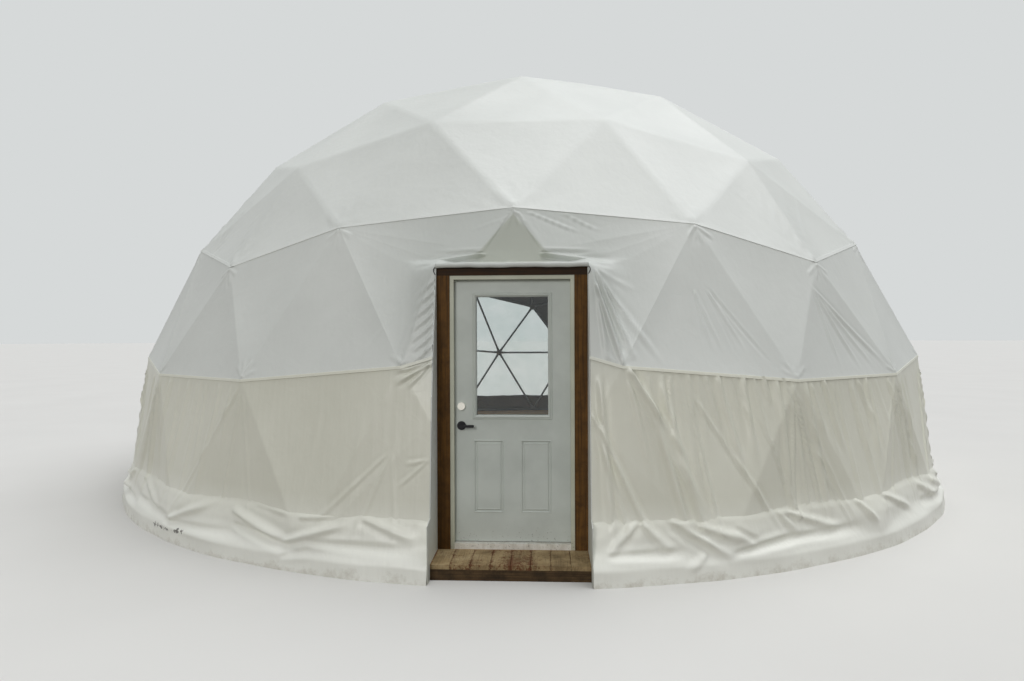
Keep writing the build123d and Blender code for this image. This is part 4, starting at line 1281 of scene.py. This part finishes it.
# %% Tubes that the doorway cuts
post_back = -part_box("door_post_right")[1].y
extra, landings = [], []
for side, number in zip((-1, 1), knees):
    knee = frame_points[number]
    landing = between(frame_points[crown], knee, header_top + TUBE_STOPS, 2)
    landings.append(landing)
    foot = frame_points[number_of(side * FOOT_ANGLE, 0)]
    to_sill = frame_points[sill] - foot
    gate = foot + to_sill * (abs(foot[0]) - opening_half - 0.0003) / abs(to_sill[0])
    at_post = [side * post_outer, -(post_back + 0.03), knee[2]]
    extra += [(frame_points[crown], landing), (foot, gate), (knee, at_post)]
starts, stops = np.array([e[0] for e in extra]), np.array([e[1] for e in extra])
stops = stops + (stops - starts) / np.linalg.norm(stops - starts, axis=-1, keepdims=True) * 0.05
short = tubes(starts, stops, starts - centre)
points, faces = loft(np.concatenate([loops, short]))
frame_nodes = ["frame_crown", *roof_tubes, "frame_wall_upper", "frame_wall_lower", "frame_base_ring"]
steel = piece("frame_tubes", points, faces, zinc_tube)
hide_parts(*frame_nodes)
print("tubes", len(loops) + len(short))

# %% [markdown]
# The two tubes under the crown end in the air behind the header, so a bent
# strap of flat steel runs from each one's foot to the top of the header.

# %% Straps on the header
STRAP_WIDE = 0.040
STRAP_THICK = 0.004
section = np.array([[-0.5, -0.5], [0.5, -0.5], [0.5, 0.5], [-0.5, 0.5]]) * [STRAP_WIDE, STRAP_THICK]
rise = np.array([[0, -0.6, 0.8], [0, -0.2, 0.98], [0, 0, 1.0]])
loops = []
for foot in landings:
    inner = np.array([foot[0], -post_back + 0.012, header_top + STRAP_THICK / 2 + 0.0002])
    bends = np.stack([foot + np.array([0, 0.012, 0.008]), inner, inner + np.array([0, -0.060, 0])])
    wide = section[None, :, :1] * np.array([1.0, 0, 0])
    loops.append(bends[:, None] + wide + section[None, :, 1:] * rise[:, None])
straps = piece("header_straps", *loft(np.array(loops)), zinc_tube, smooth=False)

# %% [markdown]
# ## Hem over the header
# The cover ends over the header in a hem with a cord in it: a bright flat roll,
# two fingers high. Its oval section is carried along the header, and it dips and
# swells a little as sewn cloth does. The cord comes out at both ends in a short
# black tail that hangs beside the post.

# %% The hem
HEM_HALF = 0.019
HEM_THICK = 0.0145
x = np.linspace(-opening_half, opening_half, 90)
turn = np.linspace(0, 2 * np.pi, 20, endpoint=False)
sway = 0.0018 * np.sin(x * 13) + 0.001 * np.sin(x * 37 + 1)
swell = 1 + 0.06 * np.sin(x * 29)
hem_y = -(frame_front + 0.0004 + HEM_THICK * 1.08)
hem_z = HEM_TOP - HEM_HALF * 0.9
depth = hem_y + HEM_THICK * np.cos(turn) * swell[:, None]
height = hem_z + HEM_HALF * np.sin(turn) + sway[:, None]
loops = np.stack([np.repeat(x[:, None], len(turn), 1), depth, height], -1)
hem = piece("header_hem", *loft(loops), white_fabric)
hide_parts("header_flap")

# %% Tails of the hem's cord
CORD_RADIUS = 0.0032
black_cord, tree, shader, place = material("braided_black_polyester_cord", Roughness=0.8)
braid = {"Vector": place, "Scale": 90.0, "Distortion": 2.0, "Detail": 1.0}
braid = add(tree, "TexWave", braid).outputs["Fac"]
finish(tree, shader, add(tree, "ValToRGB", {"Fac": braid}, [(0.3, "#0E0E10"), (0.8, "#26262A")]).outputs[0])
t = np.linspace(0, 1, 24)[:, None]
turns = np.linspace(0, 2 * np.pi, 10, endpoint=False)
ring = np.stack([np.cos(turns), np.sin(turns), np.zeros(10)], -1) * CORD_RADIUS
for name, side in (("hem_cord_left", -1), ("hem_cord_right", 1)):
    start = np.array([side * (opening_half - 0.004), hem_y, hem_z - HEM_HALF * 0.55])
    curl = np.concatenate([side * 0.016 * np.sin(t * 3.0), -0.014 * np.sin(t * 2.2), -0.062 * t**1.3], -1)
    line = start + curl
    tail = piece(name, *loft(line[:, None] + ring), black_cord)

# %% [markdown]
# ## Timber
# The posts and header are sawn softwood with a brown stain: the grain runs
# along each piece, darker where the latewood is, and the end of the season's
# rain leaves it blotchy. The landing boards are older, greyed and dusted with
# rusty dirt that lies in the gaps and against the threshold.

# %% Stained wood


def stained_wood(name, along, dark, light, grime, cover):
    """Softwood: noise stretched along the axis of its grain, in two tones, with grime over part of it."""
    made, tree, shader, place = material(name, Roughness=0.7, Specular_IOR_Level=0.2)
    stretch = [90.0, 90.0, 90.0]
    stretch["XYZ".index(along)] = 2.2
    mapped = add(tree, "Mapping", {"Vector": place, "Scale": stretch}).outputs[0]
    rings = {"Vector": mapped, "Scale": 1.0, "Detail": 5.0, "Distortion": 0.5}
    rings = add(tree, "TexNoise", rings).outputs["Fac"]
    grain = add(tree, "ValToRGB", {"Fac": rings}, [(0.3, dark), (0.62, light)]).outputs[0]
    blotch = {"Vector": place, "Scale": 9.0, "Detail": 5.0, "Roughness": 0.7}
    blotch = add(tree, "TexNoise", blotch).outputs["Fac"]
    share = add(tree, "MapRange", {"Value": blotch, "From Min": 0.42, "From Max": 0.7, "To Max": cover})
    finish(tree, shader, layered(tree, grain, [(share.outputs[0], grime)]), rings, 0.6, 0.0008)
    return made


# %% Boards with litter


def littered_boards(name, first_edge, pitch):
    """Greyed boards that run along Y: rusty litter where noise is high, and more of it near each gap."""
    made, tree, shader, place = material(name, Roughness=0.75, Specular_IOR_Level=0.25)
    cloud = {"Vector": place, "Scale": 6.0, "Detail": 5.0, "Roughness": 0.65}
    cloud = add(tree, "TexNoise", cloud).outputs["Fac"]
    base = add(tree, "ValToRGB", {"Fac": cloud}, [(0.34, "#7C694B"), (0.5, "#A08A65"), (0.66, "#B6A27E")])
    long = add(tree, "Mapping", {"Vector": place, "Scale": (110.0, 5.0, 40.0)}).outputs[0]
    grain = {"Vector": long, "Scale": 1.0, "Detail": 4.0, "Distortion": 0.6}
    grain = add(tree, "TexNoise", grain).outputs["Fac"]
    streaks = add(tree, "MapRange", {"Value": grain, "From Min": 0.5, "From Max": 0.75, "To Max": 0.6})
    x, y, z = add(tree, "SeparateXYZ", {0: place}).outputs
    from_edge = add(tree, "Math", {0: x, 1: first_edge}, operation="SUBTRACT").outputs[0]
    to_gap = add(tree, "Math", {0: from_edge, 1: pitch / 2}, operation="PINGPONG").outputs[0]
    by_gap = add(tree, "MapRange", {"Value": to_gap, "From Min": 0.020, "From Max": 0.002, "To Max": 0.12})
    flecks = {"Vector": place, "Scale": 42.0, "Detail": 6.0, "Roughness": 0.8, "Distortion": 0.5}
    flecks = add(tree, "TexNoise", flecks).outputs["Fac"]
    patches = add(tree, "TexNoise", {"Vector": place, "Scale": 4.0, "Detail": 2.0}).outputs["Fac"]
    litter = add(tree, "Math", {0: patches, 1: 0.5, 2: flecks}, operation="MULTIPLY_ADD").outputs[0]
    litter = add(tree, "Math", {0: litter, 1: by_gap.outputs[0]}, operation="ADD").outputs[0]
    share = add(tree, "MapRange", {"Value": litter, "From Min": 0.80, "From Max": 0.90})
    layers = [(streaks.outputs[0], "#5B4A34"), (share.outputs[0], "#664028")]
    finish(tree, shader, layered(tree, base.outputs[0], layers), litter, 0.7, 0.0015)
    return made


# %% [markdown]
# The posts, boards and door keep the shapes that the CAD model gives them, so
# here they only change their finish. Each wood has its own tones: the stained
# posts, the weathered riser and the pale deck inside. The header has the posts'
# stain, painted much darker as the shade under the hem.

# %% Timber pieces
LANDING_BOARDS = 8


def dress(surface, slot_name, *nodes):
    """Gives CAD nodes a finish in place of the plain one that they came with."""
    for name in nodes:
        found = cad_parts[name]
        found.data.materials.clear()
        found.data.materials.append(surface)


board_low, board_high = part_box("landing_boards")
post_wood = stained_wood("brown_stained_softwood_upright", "Z", "#422C12", "#67471F", "#33220F", 0.7)
# Painted shade: the header has the posts' stain, but much darker tones for the shade under the hem.
shaded_header_wood = stained_wood("brown_stained_softwood_across", "X", "#1D1206", "#33200C", "#140D05", 0.6)
riser_wood = stained_wood("weathered_riser_board", "X", "#3A2B1B", "#57442D", "#221A10", 0.9)
board_pitch = (board_high.x - board_low.x) / LANDING_BOARDS
board_wood = littered_boards("weathered_deck_board", board_low.x, board_pitch)
deck_wood = stained_wood("indoor_deck_board", "X", "#8A6B4A", "#B08E66", "#7A5D42", 0.4)
joist_wood = stained_wood("sawn_joist", "X", "#8F7A5E", "#B39C7C", "#6E5B45", 0.5)
dress(post_wood, "stained_timber", "door_post_left", "door_post_right")
dress(shaded_header_wood, "stained_timber", "door_header")
dress(board_wood, "deck_timber", "landing_boards")
dress(riser_wood, "deck_timber", "landing_risers")
dress(deck_wood, "deck_timber", "floor_deck")
dress(joist_wood, "deck_timber", "floor_joists", "platform_rim")

# %% [markdown]
# ## Door and its frame
# The leaf is a steel skin pressed with two tall panels and factory painted in a
# greyed white. Rain leaves faint runs and dirt splashes up from the landing.
# The jambs are painted timber and the moulding round the glass is plastic.

# %% Paint


def painted(name, light, dark, grime, rough, scale=5.0, soil=0.55):
    """Paint in two close tones, with a veil of dirt and splashed specks that thicken towards the ground."""
    made, tree, shader, place = material(name, Roughness=rough)
    cloud = add(tree, "TexNoise", {"Vector": place, "Scale": scale, "Detail": 4.0}).outputs["Fac"]
    base = add(tree, "ValToRGB", {"Fac": cloud}, [(0.35, dark), (0.65, light)]).outputs[0]
    height = add(tree, "SeparateXYZ", {0: place}).outputs["Z"]
    low = add(tree, "MapRange", {"Value": height, "From Min": 0.24, "From Max": 0.10, "To Max": soil})
    run = add(tree, "Mapping", {"Vector": place, "Scale": (40.0, 40.0, 4.0)}).outputs[0]
    runs = add(tree, "TexNoise", {"Vector": run, "Scale": 1.0, "Detail": 4.0})
    veil = all_of(tree, [low.outputs[0], runs.outputs["Fac"]])
    splashed = add(tree, "MapRange", {"Value": height, "From Min": 0.45, "From Max": 0.12, "To Max": 0.16})
    fleck = add(tree, "TexNoise", {"Vector": place, "Scale": 70.0, "Detail": 3.0, "Roughness": 0.7})
    specks = add(tree, "Math", {0: fleck.outputs["Fac"], 1: splashed.outputs[0]}, operation="ADD").outputs[0]
    specks = add(tree, "MapRange", {"Value": specks, "From Min": 0.76, "From Max": 0.82, "To Max": 0.7})
    peel = add(tree, "TexNoise", {"Vector": place, "Scale": 260.0, "Detail": 1.0}).outputs["Fac"]
    colour = layered(tree, base, [(veil, grime), (specks.outputs[0], "#4E4434")])
    finish(tree, shader, colour, peel, 0.15, 0.0003)
    return made


door_paint = painted("factory_painted_steel_door", "#C7CDC7", "#BEC4BE", "#A79C8B", 0.42, soil=0.1)
# The jambs' cream paint is a little darker than the door's: painted shade for the jambs' place behind the
# posts' fronts.
jamb_paint = painted("white_painted_jamb", "#C4C6B4", "#B8BAA8", "#8C7F6C", 0.5)
lite_plastic = painted("moulded_lite_frame", "#CBD0CA", "#C2C8C2", "#B5B0A5", 0.4)
sill_metal = painted("threshold_aluminium_painted", "#F0F0EA", "#DEDCD2", "#7A6A55", 0.5, 22.0)
dress(door_paint, "door_enamel", "door_leaf")
dress(jamb_paint, "painted_jamb", "door_jamb_left", "door_jamb_right", "door_jamb_head")
dress(sill_metal, "painted_jamb", "door_threshold")

# %% [markdown]
# ### Mouldings on the leaf
# The steel skin is pressed in a bead, a cove and a bevel round each panel, and
# the glass is held by a moulded frame on each face. Each is a profile carried
# round a rectangle as four mitred bars: the bevels that look up catch the light
# from above and those that look down stay dark, which draws the panels.

# %% Profiles and mitred bars
LITE_WIDE = 0.031
PANEL_HALF, PANEL_CENTRE, PANEL_FOOT, PANEL_BELOW_LITE = 0.1095, 0.181, 0.224, 0.166
PRESSED = [(0.007, -0.001), (0.006, 0.0010), (0.0025, 0.0030), (-0.0005, 0.0030), (-0.0095, -0.0044)]
PRESSED += [(-0.0115, -0.0044), (-0.0220, 0.0022), (-0.0250, 0.0010), (-0.0260, -0.001)]
PRESSED += [(-0.0260, -0.0048), (0.007, -0.0048)]
MOULDED = [(0.031, -0.001), (0.031, 0.0030), (0.027, 0.0078), (0.023, 0.0078)]
MOULDED += [(0.020, 0.0050), (0.018, 0.0050), (0.0145, 0.0118), (0.012, 0.0118)]
MOULDED += [(0.0, 0.0020), (0.0, -0.0133), (0.0098, -0.0133), (0.0098, -0.001)]


def mitred(low, high, profile, face, way):
    """Four bars round a rectangle: the profile goes out along the diagonals, and proud of the face."""
    out, proud = np.array(profile).T
    (left, foot), (right, head) = low, high
    corners = [(left, foot, -1, -1), (right, foot, 1, -1), (right, head, 1, 1), (left, head, -1, 1)]
    rings = [np.stack([x + sx * out, face + way * proud, z + sz * out], -1) for x, z, sx, sz in corners]
    return np.array([[rings[i], rings[(i + 1) % 4]] for i in range(4)])


# %% Panels and glass frame
leaf_low, leaf_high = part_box("door_leaf")
lite_low, lite_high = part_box("lite_frame_outside")
glass_foot = (lite_low.x + LITE_WIDE, lite_low.z + LITE_WIDE)
glass_head = (lite_high.x - LITE_WIDE, lite_high.z - LITE_WIDE)
for name, face, way in (("outside", leaf_low.y, -1), ("inside", leaf_high.y, 1)):
    panels = []
    for x in (-PANEL_CENTRE, PANEL_CENTRE):
        low = (x - PANEL_HALF, leaf_low.z + PANEL_FOOT)
        high = (x + PANEL_HALF, lite_low.z - PANEL_BELOW_LITE)
        panels.append(mitred(low, high, PRESSED, face, way))
    made = piece("panel_beads_" + name, *loft(np.concatenate(panels)), door_paint, "door", smooth=False)
    bars = loft(mitred(glass_foot, glass_head, MOULDED, face, way))
    made = piece("lite_moulding_" + name, *bars, lite_plastic, "door", smooth=False)
    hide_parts("lite_frame_" + name)

# %% [markdown]
# ### Fittings
# The lever and its roses are die-cast zinc in satin black, the lock's plate is
# satin nickel, and the hinges are zinc-plated steel. Each wanders between two
# close tones, as worn or brushed metal does.

# %% Black fittings, lock and hinges
black = [(0.4, "#101013"), (0.75, "#1D1D20")]
satin = {"Roughness": 0.5, "Specular_IOR_Level": 0.25}
black_metal = two_tone("satin_black_zinc_casting", 120.0, 3.0, black, **satin)[0]
pale = [(0.3, "#C9C6BC"), (0.7, "#DAD7CE")]
nickel = two_tone("satin_nickel_plate", 200.0, 2.0, pale, Metallic=1.0, Roughness=0.35)[0]
grey = [(0.3, "#9C9C96"), (0.7, "#B9B9B2")]
hinge_metal = two_tone("zinc_plated_hinge", 60.0, 3.0, grey, Metallic=1.0, Roughness=0.4)[0]
dress(black_metal, "black_hardware", "door_levers", "lever_roses")
dress(nickel, "satin_nickel", "door_deadbolt")
dress(hinge_metal, "hinge_steel", "hinges_on_jamb", "hinges_on_leaf")
dress(zinc_tube, "hub_steel", "hub_blocks_wall", "hub_blocks_roof")
dress(white_fabric, "coated_fabric", "doorway_return_left", "doorway_return_right")

# %% [markdown]
# ## Glass and clear vinyl
# The door has clear double glazing: almost no colour of its own, and sharp
# reflections. The bay at the back is clear PVC sheet, which is never quite
# flat, so what shows through it swims a little.

# %% Glass in the door
film = [(0.3, "#EEF4F2"), (0.7, "#F8FBFA")]
pane_glass = two_tone("clear_float_glass", 8.0, 3.0, film, Roughness=0.0, IOR=1.5, Transmission_Weight=1.0)[0]
dress(pane_glass, "door_glazing", "door_glass")

# %% The clear bay
film = [(0.3, "#E9EFEE"), (0.7, "#F4F7F6")]
clear = {"Roughness": 0.05, "IOR": 1.53, "Transmission_Weight": 1.0}
vinyl, swim, tree, shader = two_tone("clear_pvc_sheet", 2.5, 3.0, film, **clear)
bump = add(tree, "Bump", {"Strength": 0.3, "Distance": 0.004, "Height": swim})
tree.links.new(bump.outputs[0], shader.inputs["Normal"])
corners = centre + facets[in_window] * COVER_RADIUS
bay = thicken(piece("clear_bay", *band_surface(corners, 16, []), vinyl), CLOTH_WALL)
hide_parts("window_panes")
